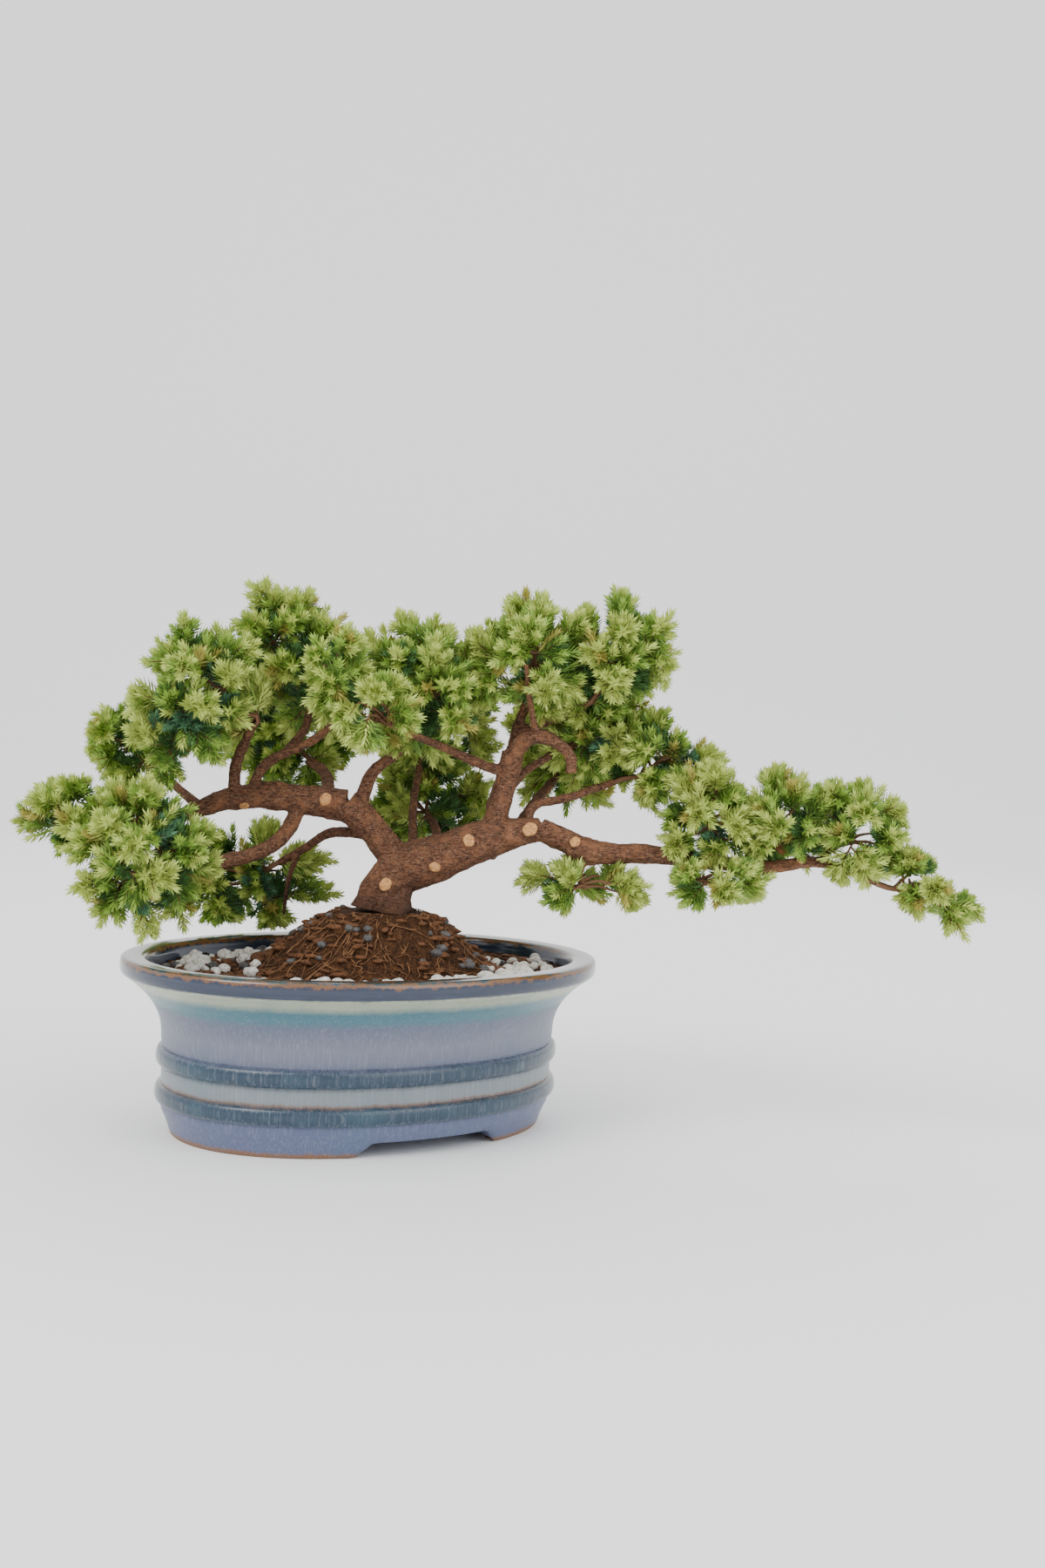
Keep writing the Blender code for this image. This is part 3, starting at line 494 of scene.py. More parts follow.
class SoilLooks(bpy.types.PropertyGroup):
    """Colours and sizes of the soil and of what lies on it."""

    dark: colour("Dark soil", "Deepest colour of the soil", (0.018, 0.008, 0.004))
    light: colour("Light soil", "Lightest colour of the soil", (0.13, 0.055, 0.022))
    perlite: colour("Perlite", "White grains", (0.78, 0.77, 0.72))
    stone: colour("Stone", "Dark stones", (0.055, 0.052, 0.05))
    chip: colour("Bark chip", "Chips of bark", (0.17, 0.070, 0.028))
    fibre: colour("Fibre", "Root fibres", (0.24, 0.12, 0.055))
    perlite_size: size_mm("Perlite size", "Half width of a white grain", 2.9)
    stone_size: size_mm("Stone size", "Half width of a stone", 2.4)
    chip_size: size_mm("Chip size", "Half length of a chip", 3.4)
    fibre_radius: size_mm("Fibre radius", "Radius of a root fibre", 0.28)
    perlite_count: number("Perlite grains", "How many", 190)
    stone_count: number("Stones", "How many", 110)
    chip_count: number("Chips", "How many", 420)
    fibre_count: number("Fibres", "How many", 420)


class WoodLooks(bpy.types.PropertyGroup):
    """Colours and relief of the bark."""

    bark: colour("Bark", "Main colour of the bark", (0.20, 0.085, 0.045))
    crack: colour("Crack", "Colour in the cracks", (0.030, 0.014, 0.008))
    flake: colour("Flake", "Pale flakes", (0.36, 0.24, 0.16))
    cut: colour("Cut", "Face of a pruned stub", (0.62, 0.33, 0.13))
    relief: size_mm("Relief", "Height of the bark's ridges", 0.75)
    voxel: size_mm("Grid", "Grid on which the limbs are joined", 0.6)


class NeedleLooks(bpy.types.PropertyGroup):
    """Colours, sizes and density of the needles."""

    # Tip, light, middle and deep are also steps of painted shade: shoots further inside a mass take the
    # darker ones.
    tip: colour("Tip", "New needles", (0.54, 0.64, 0.16))
    light: colour("Light", "Outer needles", (0.32, 0.48, 0.085))
    middle: colour("Middle", "Main needles", (0.175, 0.32, 0.055))
    deep: colour("Deep", "Inner needles", (0.085, 0.19, 0.055))
    blue: colour("Blue", "Bluish needles", (0.095, 0.22, 0.115))
    yellow: colour("Yellow", "Yellowing needles", (0.46, 0.42, 0.10))
    dry: colour("Dry", "Dead needles", (0.28, 0.115, 0.040))
    twig: colour("Twig", "Bark of the twigs", (0.19, 0.095, 0.05))
    length: size_mm("Needle length", "Length of a full needle", 5.6)
    width: size_mm("Needle width", "Width of a needle", 1.05)
    shoot: size_mm("Shoot length", "Length of the longest side shoot", 12.5)
    plume_room: amount("Room of a plume", "How much of a mass's surface each plume has", 74.0, min=10)
    shoots: number("Shoots", "Side shoots of a plume", 12, 2)
    whorls: number("Whorls", "Whorls of needles on a shoot", 13, 2)


class StageLooks(bpy.types.PropertyGroup):
    """Floor and light."""

    floor: colour("Floor", "Colour of the floor", (0.93, 0.93, 0.92))
    key: amount("Key light", "Power of the main lamp", 24.0, min=0, unit="POWER")
    fill: amount("Fill light", "Power of each other lamp", 9.0, min=0, unit="POWER")
    sky: amount("Sky", "Strength of the even light", 1.4, min=0)


# Shader helpers


class Shader:
    """A material's nodes, added one at a time."""

    def __init__(self, name, **sockets):
        self.material = bpy.data.materials.new(name)
        self.material.use_nodes = True
        self.tree = self.material.node_tree
        self.surface = self.tree.nodes["Principled BSDF"]
        for socket, value in sockets.items():
            self.surface.inputs[socket.replace("_", " ")].default_value = value

    def node(self, kind, settings=None, **inputs):
        made = self.tree.nodes.new("ShaderNode" + kind)
        for key, value in (settings or {}).items():
            setattr(made, key, value)
        for key, value in inputs.items():
            self.set(made.inputs[key.replace("_", " ")], value)
        return made

    def set(self, socket, value):
        if isinstance(value, bpy.types.NodeSocket):
            self.tree.links.new(value, socket)
        else:
            socket.default_value = value

    def place(self, scale=(1, 1, 1)):
        """Object coordinates in millimetres, times a scale."""
        coordinates = self.node("TexCoord").outputs["Object"]
        return self.node("Mapping", Vector=coordinates, Scale=[1000 * s for s in scale]).outputs["Vector"]

    def noise(self, kind):
        made = self.node("TexNoise", Vector=self.place(kind.stretch), Scale=kind.scale,
                         Detail=kind.detail, Roughness=kind.roughness)
        return made.outputs["Fac"]

    def maths(self, operation, a, b):
        made = self.node("Math", {"operation": operation})
        self.set(made.inputs[0], a)
        self.set(made.inputs[1], b)
        return made.outputs[0]

    def ramp(self, fac, stops):
        made = self.node("ValToRGB", Fac=fac)
        ramp = made.color_ramp
        while len(ramp.elements) < len(stops):
            ramp.elements.new(0.5)
        for element, (place, value) in zip(ramp.elements, stops):
            element.position = place
            element.color = (*value, 1)
        return made.outputs["Color"]

    def grey(self, fac, low, high, start=0.0, end=1.0):
        """A number that runs from low to high while fac runs from start to end."""
        made = self.node("MapRange", From_Min=start, From_Max=end, To_Min=low, To_Max=high, Value=fac)
        return made.outputs["Result"]

    def mix(self, fac, a, b):
        made = self.node("Mix", {"data_type": "RGBA"})
        self.set(made.inputs[0], fac)
        self.set(made.inputs[6], a if isinstance(a, bpy.types.NodeSocket) else (*a, 1))
        self.set(made.inputs[7], b if isinstance(b, bpy.types.NodeSocket) else (*b, 1))
        return made.outputs[2]

    def tint(self, base, colour, fac, start, end, most=1.0):
        """Turns the base towards a colour, up to the share most, while fac runs from start to end."""
        return self.mix(self.grey(fac, 0.0, most, start, end), base, colour)

    def finish(self, base, roughness, height=None, distance=0.0, strength=0.0):
        """Sets the colour and roughness, and a bump of this distance in metres, and returns the material."""
        self.set(self.surface.inputs["Base Color"], base)
        self.set(self.surface.inputs["Roughness"], roughness)
        if height is not None:
            bump = self.node("Bump", Height=height, Distance=distance, Strength=strength)
            self.set(self.surface.inputs["Normal"], bump.outputs["Normal"])
        return self.material


# Mesh helpers


def in_frame(place):
    return MIDDLE + Vector(place) * MM


def new_object(name, data):
    obj = bpy.data.objects.new(name, data)
    bpy.context.scene.collection.objects.link(obj)
    return obj


def add_object(name, mesh, materials, place=(0, 0, 0)):
    """A piece of the bonsai, which rides on its one body."""
    obj = new_object(name, mesh)
    for material in materials:
        mesh.materials.append(material)
    obj.location = place
    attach(obj, "root")
    return obj


def mesh_of(name, points, faces, smooth=True):
    """A mesh from points in millimetres and faces that may differ in length."""
    mesh = bpy.data.meshes.new(name)
    mesh.from_pydata([in_frame(p) for p in points], [], faces)
    if smooth:
        mesh.shade_smooth()
    return mesh


def mesh_of_triangles(name, points, triangles, choices=None):
    """A mesh from arrays of points in millimetres and of triangles."""
    mesh = bpy.data.meshes.new(name)
    placed = points * MM + np.array(MIDDLE)
    mesh.vertices.add(len(placed))
    mesh.vertices.foreach_set("co", placed.astype(np.float32).ravel())
    mesh.loops.add(3 * len(triangles))
    mesh.loops.foreach_set("vertex_index", triangles.astype(np.int32).ravel())
    mesh.polygons.add(len(triangles))
    mesh.polygons.foreach_set("loop_start", np.arange(0, 3 * len(triangles), 3, dtype=np.int32))
    if choices is not None:
        mesh.polygons.foreach_set("material_index", choices.astype(np.int32))
    mesh.update(calc_edges=True)
    return mesh


def skin(rings):
    """Points and faces that join rings of equal length, closed at both ends."""
    sides = len(rings[0])
    points = [p for ring in rings for p in ring]
    faces = []
    for i in range(len(rings) - 1):
        a = i * sides
        b = a + sides
        for j in range(sides):
            k = (j + 1) % sides
            faces.append((a + j, a + k, b + k, b + j))
    faces.append(tuple(reversed(range(sides))))
    faces.append(tuple(range(len(points) - sides, len(points))))
    return points, faces


def join_parts(parts):
    """One list of points and faces from several."""
    points = []
    faces = []
    for more_points, more_faces in parts:
        start = len(points)
        points += more_points
        faces += [tuple(start + i for i in face) for face in more_faces]
    return points, faces


def face_outwards(mesh):
    bm = bmesh.new()
    bm.from_mesh(mesh)
    bmesh.ops.recalc_face_normals(bm, faces=bm.faces)
    bm.to_mesh(mesh)
    bm.free()


def smooth_curve(points, step):
    """A Catmull-Rom curve through the points, with a place about every step."""
    pts = [Vector(p) for p in points]
    pts = [2 * pts[0] - pts[1], *pts, 2 * pts[-1] - pts[-2]]
    curve = [pts[1]]
    for a, b, c, d in zip(pts, pts[1:], pts[2:], pts[3:]):
        count = max(1, round((c - b).length / step))
        for i in range(1, count + 1):
            t = i / count
            square = (2 * a - 5 * b + 4 * c - d) * t**2
            cube = (3 * b - a - 3 * c + d) * t**3
            curve.append(0.5 * (2 * b + (c - a) * t + square + cube))
    return curve


def lengths_along(path):
    total = [0.0]
    for a, b in zip(path, path[1:]):
        total.append(total[-1] + (b - a).length)
    return total


def point_at(path, share):
    """The place and direction at this share of the path's length."""
    along = lengths_along(path)
    wanted = share * along[-1]
    i = 0
    while i < len(path) - 2 and along[i + 1] < wanted:
        i += 1
    t = (wanted - along[i]) / (along[i + 1] - along[i])
    return path[i].lerp(path[i + 1], t), (path[i + 1] - path[i]).normalized()


def spread(values, count):
    """These values read evenly at count places."""
    return np.interp(np.linspace(0, len(values) - 1, count), range(len(values)), values)


def tube_rings(path, radii, sides, swell=None):
    """Rings round a path, turned as little as possible from one to the next."""
    rings = []
    across = None
    for i, (place, radius) in enumerate(zip(path, radii)):
        tangent = (path[min(i + 1, len(path) - 1)] - path[max(i - 1, 0)]).normalized()
        across = tangent.orthogonal() if across is None else across - tangent * across.dot(tangent)
        across = across.normalized()
        up = tangent.cross(across)
        ring = []
        for j in range(sides):
            angle = 2 * math.pi * j / sides
            reach = float(radius * (swell(i, angle) if swell else 1))
            ring.append(place + reach * (math.cos(angle) * across + math.sin(angle) * up))
        rings.append(ring)
    return rings


# Pot


def flare(height):
    """How far inside the lip the outer wall lies, from the waist to the lip."""
    share = (height - WAIST_HEIGHT) / (LIP_BOTTOM - WAIST_HEIGHT)
    return WAIST * (1 - share**FLARE_POWER)


def oval(inset, height, sides):
    """A ring of the pot's outline, this far inside its lip, before it is turned."""
    power = 2 / POT_ROUNDNESS
    ring = []
    for i in range(sides):
        angle = 2 * math.pi * i / sides
        x = (POT_HALF_LENGTH - inset) * math.copysign(abs(math.cos(angle)) ** power, math.cos(angle))
        y = (POT_HALF_WIDTH - inset) * math.copysign(abs(math.sin(angle)) ** power, math.sin(angle))
        ring.append(Vector((x, y, height)))
    return ring


def ridge(height):
    """The rounded profile of one raised ridge."""
    profile = []
    for i in range(RIDGE_STEPS + 1):
        angle = math.pi * (i / RIDGE_STEPS - 0.5)
        inset = WAIST + RIDGE_ROOT - (RIDGE_OUT + RIDGE_ROOT) * math.cos(angle) ** RIDGE_BLUNTNESS
        profile.append((inset, height + RIDGE_HALF * math.sin(angle)))
    return profile


def outer_profile():
    """From the recess under the pot, over the foot and ridges, to the lip."""
    profile = [(FOOT_IN + FOOT_WIDTH, RECESS), (FOOT_IN + FOOT_WIDTH - 0.5, 0.4)]
    profile += [(FOOT_IN + FOOT_WIDTH - 1.2, 0), (FOOT_IN + 0.6, 0), (FOOT_IN, 0.6)]
    profile += [(FOOT_IN - (FOOT_IN - WAIST) * (z / FOOT_TOP) ** FOOT_CURVE, z) for z in (2, 4, 6, 8, 10)]
    for height in RIDGE_HEIGHTS:
        profile += ridge(height)
    top = LIP_BOTTOM - LIP_OVERHANG
    for i in range(FLARE_STEPS):
        height = WAIST_HEIGHT + (top - WAIST_HEIGHT) * i / (FLARE_STEPS - 1)
        profile.append((flare(height), height))
    return profile


def lip_profile():
    """Round the lip, over the rim and down inside to the floor."""
    profile = [(0.5, LIP_BOTTOM), (0.1, LIP_BOTTOM + 0.8), (0, LIP_BOTTOM + 2), (0, 67.5), (0.15, 68.8)]
    profile += [(0.6, 69.6), (1.4, POT_HEIGHT), (3, POT_HEIGHT), (RIM_WIDTH - 2, POT_HEIGHT - 0.05)]
    profile += [(RIM_WIDTH - 0.7, 69.6), (RIM_WIDTH, 68.8), (RIM_WIDTH + 0.6, POT_HEIGHT - 4)]
    top, middle, low = INSIDE_HEIGHTS
    profile += [(flare(top) + WALL, top), (flare(middle) + WALL, middle)]
    return profile + [(WAIST + WALL + 2, low), (WAIST + WALL + 8, FLOOR)]


def arch_lift(x):
    """How high the arch between the feet is at this place along the pot."""
    return ARCH_HEIGHT * min(1, max(0, (ARCH_HALF - abs(x)) / ARCH_SLOPE))


def wall_glaze(looks):
    """The outer wall: bands by height, blurred and run downwards."""
    shader = Shader("Pot wall glaze", Coat_Weight=0.12, Coat_Roughness=0.2)
    place = shader.place()
    split = shader.node("SeparateXYZ", Vector=place)
    run = shader.noise(RUN_NOISE)
    wander = shader.noise(WANDER_NOISE)
    most = GLAZE_RUN * looks.streaks
    shift = shader.grey(shader.maths("ADD", run, wander), -most, most, 0.6, 1.4)
    height = shader.maths("ADD", split.outputs["Z"], shift)
    share = shader.maths("DIVIDE", height, POT_HEIGHT)
    mixed = {"pale": [c * 0.8 + 0.06 for c in looks.wall], "broken": BROKEN_GLAZE}
    bands = shader.ramp(share, [
        (at, mixed[name] if name in mixed else getattr(looks, name)) for at, name in GLAZE_BANDS
    ])
    streak = shader.noise(STREAK_NOISE)
    speckle = shader.noise(SPECKLE_NOISE)
    patches = shader.noise(PATCH_NOISE)
    coloured = shader.tint(bands, STREAK, streak, 0.50, 0.75, most=0.22)
    coloured = shader.tint(coloured, SPECKLE, speckle, 0.56, 0.74, most=0.6)
    coloured = shader.tint(coloured, looks.neck, patches, 0.5, 0.75, most=0.2)
    shine = shader.ramp(share, [(at, (roughness,) * 3) for at, roughness in GLAZE_ROUGHNESS])
    height = shader.maths("ADD", streak, speckle)
    return shader.finish(coloured, shine, height, distance=0.00025, strength=0.35)


def lip_glaze(looks):
    """The lip and the inside: dark and glossy, brown where it breaks on the edge, with a painted sheen of
    lighter blue streaks round the lip.
    """
    shader = Shader("Pot lip glaze", Coat_Weight=0.35, Coat_Roughness=0.06)
    place = shader.place()
    height = shader.node("SeparateXYZ", Vector=place).outputs["Z"]
    wobble = shader.noise(WOBBLE_NOISE)
    level = shader.maths("ADD", height, shader.grey(wobble, -1.3, 1.3, 0.3, 0.7))
    edge = shader.ramp(shader.grey(level, 0.0, 1.0, *LIP_LEVELS), [
        (0.0, looks.lip), (0.70, looks.lip), (0.79, looks.lip_edge), (0.84, looks.lip_edge),
        (0.92, LIP_RIM), (1.0, LIP_INSIDE),
    ])
    # Painted sheen: lighter blue streaks round the lip stand in for its reflection
    painted_sheen = shader.noise(PAINTED_SHEEN_NOISE)
    coloured = shader.tint(edge, LIP_PAINTED_SHEEN, painted_sheen, 0.55, 0.8, most=0.25)
    fine = shader.noise(LIP_NOISE)
    coloured = shader.tint(coloured, LIP_SPECKLE, fine, 0.58, 0.8, most=0.35)
    shine = shader.grey(fine, 0.07, 0.2, 0.35, 0.7)
    return shader.finish(coloured, shine, fine, distance=0.00015, strength=0.2)


def make_pot(looks):
    outer = outer_profile()
    rings = [oval(inset, height, POT_SIDES) for inset, height in outer + lip_profile()]
    for ring in rings:
        for place in ring:
            if place.z < ARCH_HEIGHT:
                place.z = max(place.z, arch_lift(place.x))
    points, faces = skin(rings)
    mesh = bpy.data.meshes.new("pot_fine")
    mesh.from_pydata([POT_ROTATION @ p * MM for p in points], [], faces)
    lip_faces = (len(outer) - 1) * POT_SIDES
    choices = [int(i >= lip_faces and i < len(faces) - 2) for i in range(len(faces))]
    mesh.polygons.foreach_set("material_index", choices)
    face_outwards(mesh)
    mesh.shade_smooth()
    mesh.set_sharp_from_angle(angle=SHARP_ANGLE)
    pot = add_object("pot_glazed", mesh, [wall_glaze(looks), lip_glaze(looks)], MIDDLE)
    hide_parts("pot")


# Soil


def soil_edge():
    """The soil's outline against the inside of the wall, turned with the pot."""
    inset = flare(INSIDE_HEIGHTS[0]) + WALL + SOIL_INSET_CHANGE
    return [POT_ROTATION @ p for p in oval(inset, SOIL_EDGE, SOIL_SIDES)]


def soil_place(edge, turn, share):
    """A place on the mound, by its share of the way round and from seat to edge."""
    index = turn * len(edge)
    low = int(index) % len(edge)
    outer = edge[low].lerp(edge[(low + 1) % len(edge)], index - int(index))
    angle = 2 * math.pi * turn + POT_TURN
    inner = Vector((SEAT[0] + SEAT_RADIUS * math.cos(angle), SEAT[1] + SEAT_RADIUS * math.sin(angle), 0))
    place = inner.lerp(outer, share)
    share = max(0, share)
    rise = 0.5 + 0.5 * math.cos(math.pi * min(1, share / MOUND_REACH))
    place.z = SOIL_EDGE + (SEAT_HEIGHT - SOIL_EDGE) * rise
    rough = noise.fractal(place / CLOD, CLOD_ROUGHNESS, CLOD_STEP, CLOD_LAYERS)
    rough += CRUMB_RELIEF * noise.noise(place / CRUMB)
    place.z += SOIL_RELIEF * rough * min(1, share * SOIL_FADE) - SOIL_SINK * min(1, share * SINK_FADE)
    return place


def soil_material(looks):
    shader = Shader("Potting soil", Specular_IOR_Level=0.2)
    place = shader.place()
    coarse = shader.noise(CLOD_NOISE)
    fine = shader.noise(SOIL_NOISE)
    blend = shader.maths("ADD", shader.maths("MULTIPLY", coarse, 0.5), shader.maths("MULTIPLY", fine, 0.5))
    base = shader.tint(looks.dark, looks.light, blend, 0.42, 0.62)
    crumbs = shader.node("TexVoronoi", Vector=place, Scale=0.9).outputs["Distance"]
    base = shader.mix(shader.grey(crumbs, 0.5, 0.0, 0.0, 0.45), base, CRUMB_COLOUR)
    return shader.finish(base, 0.95, shader.maths("ADD", fine, crumbs), distance=0.0012, strength=0.9)


def make_soil(looks):
    edge = soil_edge()
    inset = flare(INSIDE_HEIGHTS[1]) + WALL + SOIL_FLOOR_INSET
    rings = [[POT_ROTATION @ p for p in oval(inset, SOIL_FLOOR, SOIL_SIDES)]]
    for i in range(SOIL_RINGS + 1):
        share = 1 - i / SOIL_RINGS
        rings.append([soil_place(edge, j / SOIL_SIDES, share) for j in range(SOIL_SIDES)])
    seat = Vector((*SEAT, SEAT_HEIGHT))
    rings.append([p.lerp(seat, 0.5) for p in rings[-1]])
    mesh = mesh_of("soil_mound", *skin(rings))
    face_outwards(mesh)
    soil = add_object("soil_mound", mesh, [soil_material(looks)])
    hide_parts("soil")


# Grains, chips and fibres on the soil


def pebble(rng, size, squash, seed):
    """Points and faces of one irregular lump."""
    bm = bmesh.new()
    bmesh.ops.create_icosphere(bm, subdivisions=2, radius=1)
    turn = Matrix.Rotation(rng.uniform(0, math.tau), 3, "Z")
    turn = turn @ Matrix.Rotation(rng.uniform(-GRAIN_TILT, GRAIN_TILT), 3, "X")
    offsets = (Vector((seed, 0, 0)), Vector((0, seed, 0)))
    for vert in bm.verts:
        lump = 1
        for (height, scale), offset in zip(LUMPS, offsets):
            lump += height * noise.noise(vert.co * scale + offset)
        vert.co = turn @ Vector([c * s * size * lump for c, s in zip(vert.co, squash)])
    points = [v.co.copy() for v in bm.verts]
    faces = [tuple(v.index for v in f.verts) for f in bm.faces]
    bm.free()
    return points, faces


def scatter_spot(rng, edge, patches):
    """A place on the soil, in one of these patches."""
    weights = [patch[0] for patch in patches]
    _, turn, wide, near, far = rng.choices(patches, weights)[0]
    return soil_place(edge, (turn + rng.gauss(0, wide)) % 1, rng.uniform(near, far))


def grain_material(grain, base):
    shader = Shader(grain.finish, Specular_IOR_Level=0.3)
    fine = shader.noise(GRAIN_NOISE)
    coloured = shader.tint(base, grain.dark, fine, 0.42, 0.66)
    return shader.finish(coloured, grain.roughness, fine, distance=0.0006, strength=0.8)


def scatter(kind, grain, looks):
    """Lumps of one kind, joined into one piece."""
    rng = random.Random(grain.seed)
    edge = soil_edge()
    size = getattr(looks, kind + "_size") / MM
    parts = []
    for i in range(getattr(looks, kind + "_count")):
        spot = scatter_spot(rng, edge, grain.patches)
        own = size * rng.uniform(*GRAIN_SIZES)
        points, faces = pebble(rng, own, grain.squash, grain.seed * 7 + i)
        spot.z += own * grain.squash[2] * grain.sunk
        parts.append(([p + spot for p in points], faces))
    mesh = mesh_of(grain.piece, *join_parts(parts))
    add_object(grain.piece, mesh, [grain_material(grain, getattr(looks, kind))])


def make_grains(looks):
    for kind, grain in GRAINS.items():
        scatter(kind, grain, looks)


def fibre_material(looks):
    shader = Shader("Root fibre", Specular_IOR_Level=0.2)
    fine = shader.noise(FIBRE_NOISE)
    return shader.finish(shader.tint(looks.fibre, FIBRE_DARK, fine, 0.35, 0.65), 0.9)


def make_fibres(looks):
    """Thin root strands that lie over the mound."""
    rng = random.Random(FIBRE_SEED)
    edge = soil_edge()
    nearest, furthest = FIBRE_SHARES
    turn_drift, share_drift = FIBRE_DRIFTS
    turn_wander, share_wander = FIBRE_WANDERS
    parts = []
    radius = looks.fibre_radius / MM
    for _ in range(looks.fibre_count):
        turn = rng.random()
        share = rng.uniform(*FIBRE_STARTS)
        turn_step = rng.gauss(0, turn_drift)
        share_step = rng.gauss(0, share_drift)
        path = []
        for i in range(rng.randint(*FIBRE_POINTS)):
            place = soil_place(edge, turn % 1, min(furthest, max(nearest, share)))
            place.z += radius + FIBRE_ARCH * math.sin(i * FIBRE_WAVE) ** 2
            path.append(place)
            turn += turn_step + rng.gauss(0, turn_wander)
            share += share_step + rng.gauss(0, share_wander)
        own = radius * rng.uniform(*FIBRE_RADII)
        path = smooth_curve(path, FIBRE_STEP)
        parts.append(skin(tube_rings(path, spread((own, own * FIBRE_TAPER), len(path)), FIBRE_SIDES)))
    mesh = mesh_of("root_fibres", *join_parts(parts))
    add_object("root_fibres", mesh, [fibre_material(looks)])


# Wood


def limb_path(name, paths):
    limb = LIMBS[name]
    start, _ = point_at(paths[limb.parent], limb.at)
    path = smooth_curve([start, *limb.via, limb.tip], WOOD_STEP)
    if len(path) < 3:
        path = [path[0], path[0].lerp(path[-1], 0.5), path[-1]]
    return path


def wood_lines():
    """The centre line and radii of the trunk and each limb."""
    paths = {"trunk": smooth_curve(TRUNK_PATH, WOOD_STEP)}
    radii = {"trunk": spread(TRUNK_RADII, len(paths["trunk"]))}
    for name, limb in LIMBS.items():
        paths[name] = limb_path(name, paths)
        radii[name] = spread(limb.radii, len(paths[name]))
    along = np.array(lengths_along(paths[BURL]))
    radii[BURL] += BURL_SWELL * np.exp(-(((along - BURL_AT * along[-1]) / BURL_LENGTH) ** 2))
    return paths, radii


def bark_noise(form, around, along, seed):
    return noise.noise(Vector((around.x / form.across, around.y / form.across, along / form.along + seed)))


def bark_swell(name, path, radii, relief):
    """Ridges that run along a limb, knots, and on the trunk the root flare."""
    along = lengths_along(path)
    seed = 10.0 * (1 + list(LIMBS).index(name)) if name in LIMBS else 0.0

    def swell(i, angle):
        radius = radii[i]
        around = Vector((math.cos(angle), math.sin(angle), 0)) * radius
        ridges, plates = (bark_noise(form, around, along[i], seed) for form in (RIDGES, PLATES))
        knots = max(0, bark_noise(KNOTS, around, along[i], -seed) - KNOT_START)
        depth = relief * min(1, radius / FULL_RELIEF_RADIUS)
        lifted = RIDGES.weight * ridges + PLATES.weight * plates + KNOTS.weight * knots
        grown = 1 + depth * lifted / radius
        if name == "trunk":
            fade = math.exp(-(path[i].z - path[0].z) / ROOT_FLARE_HEIGHT)
            grown += fade * ROOT_SWELL * (ROOT_FULLNESS + math.cos(ROOT_LOBES * angle + ROOT_ANGLE))
        return grown

    return swell


def cut_line(cut, paths, radii):
    """Where a pruned stub starts and ends."""
    place, _ = point_at(paths[cut.limb], cut.at)
    index = round(cut.at * (len(radii[cut.limb]) - 1))
    out = Vector(cut.out).normalized()
    return place, place + out * (radii[cut.limb][index] + CUT_LIFT), out


def bark_material(looks):
    shader = Shader("Juniper bark", Specular_IOR_Level=0.25)
    place = shader.place()
    coarse = shader.noise(BARK_NOISE)
    fine = shader.noise(FLAKE_NOISE)
    fibre = shader.noise(STRAND_NOISE)
    base = shader.tint(looks.crack, looks.bark, fibre, 0.36, 0.62)
    base = shader.tint(base, looks.flake, fine, 0.52, 0.7, most=0.75)
    base = shader.tint(base, BARK_WARM, coarse, 0.5, 0.68, most=0.7)
    height = shader.node("SeparateXYZ", Vector=place).outputs["Z"]
    # Painted shade: the bark turns towards the crack colour low on the trunk, near the soil
    base = shader.mix(shader.grey(height, 0.75, 0.0, *PAINTED_BARK_SHADE), base, looks.crack)
    return shader.finish(base, 0.86, shader.maths("ADD", fine, fibre), distance=0.0008, strength=0.9)


def wood_tubes(relief):
    """A ridged tube for the trunk and each limb, and a plain one for each pruned stub."""
    paths, radii = wood_lines()
    fewest, most = BARK_SIDES
    parts = []
    for name, path in paths.items():
        sides = max(fewest, min(most, round(2 * math.pi * float(max(radii[name])) / BARK_FACE)))
        swell = bark_swell(name, path, radii[name], relief)
        parts.append(skin(tube_rings(path, radii[name], sides, swell)))
    for cut in CUTS:
        start, end, _ = cut_line(cut, paths, radii)
        stub_radii = [cut.radius * taper for taper in STUB_TAPER]
        parts.append(skin(tube_rings([start, start.lerp(end, 0.5), end], stub_radii, STUB_SIDES)))
    return parts


def merge(obj, voxel):
    """Joins the tubes of a piece into one skin, on a grid of this size."""
    tubes = obj.data
    remesh = obj.modifiers.new("join", "REMESH")
    remesh.mode = "VOXEL"
    remesh.voxel_size = voxel
    soften = obj.modifiers.new("soften", "SMOOTH")
    soften.factor = BARK_SOFTENING
    soften.iterations = 2
    graph = bpy.context.evaluated_depsgraph_get()
    obj.data = bpy.data.meshes.new_from_object(obj.evaluated_get(graph))
    obj.modifiers.clear()
    bpy.data.meshes.remove(tubes)


def roughen(mesh):
    """Fine relief on the bark, and the flat cut at the trunk's foot."""
    flat_cut = MIDDLE.z + (SEAT_HEIGHT + GAP) * MM
    places = np.empty(3 * len(mesh.vertices), np.float32)
    normals = np.empty(3 * len(mesh.vertices), np.float32)
    mesh.vertices.foreach_get("co", places)
    mesh.vertex_normals.foreach_get("vector", normals)
    places = places.reshape(-1, 3)
    where = [Vector(place) / MM for place in places]
    rough = np.array([sum(noise.noise(p / size) * height for size, height in ROUGHNESS) for p in where])
    places += normals.reshape(-1, 3) * rough[:, None] * MM
    from_seat = np.hypot(places[:, 0] - MIDDLE.x - SEAT[0] * MM, places[:, 1] - MIDDLE.y - SEAT[1] * MM)
    sunk = (from_seat < SEAT_RADIUS * MM) & (places[:, 2] < flat_cut)
    places[sunk, 2] = flat_cut
    mesh.vertices.foreach_set("co", places.ravel())
    mesh.update()


def make_bark(looks):
    mesh = mesh_of("bark", *join_parts(wood_tubes(looks.relief / MM)), smooth=False)
    face_outwards(mesh)
    bark = add_object("bark", mesh, [bark_material(looks)])
    merge(bark, looks.voxel)
    roughen(bark.data)
    bark.data.shade_smooth()
    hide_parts("trunk", *LIMBS)


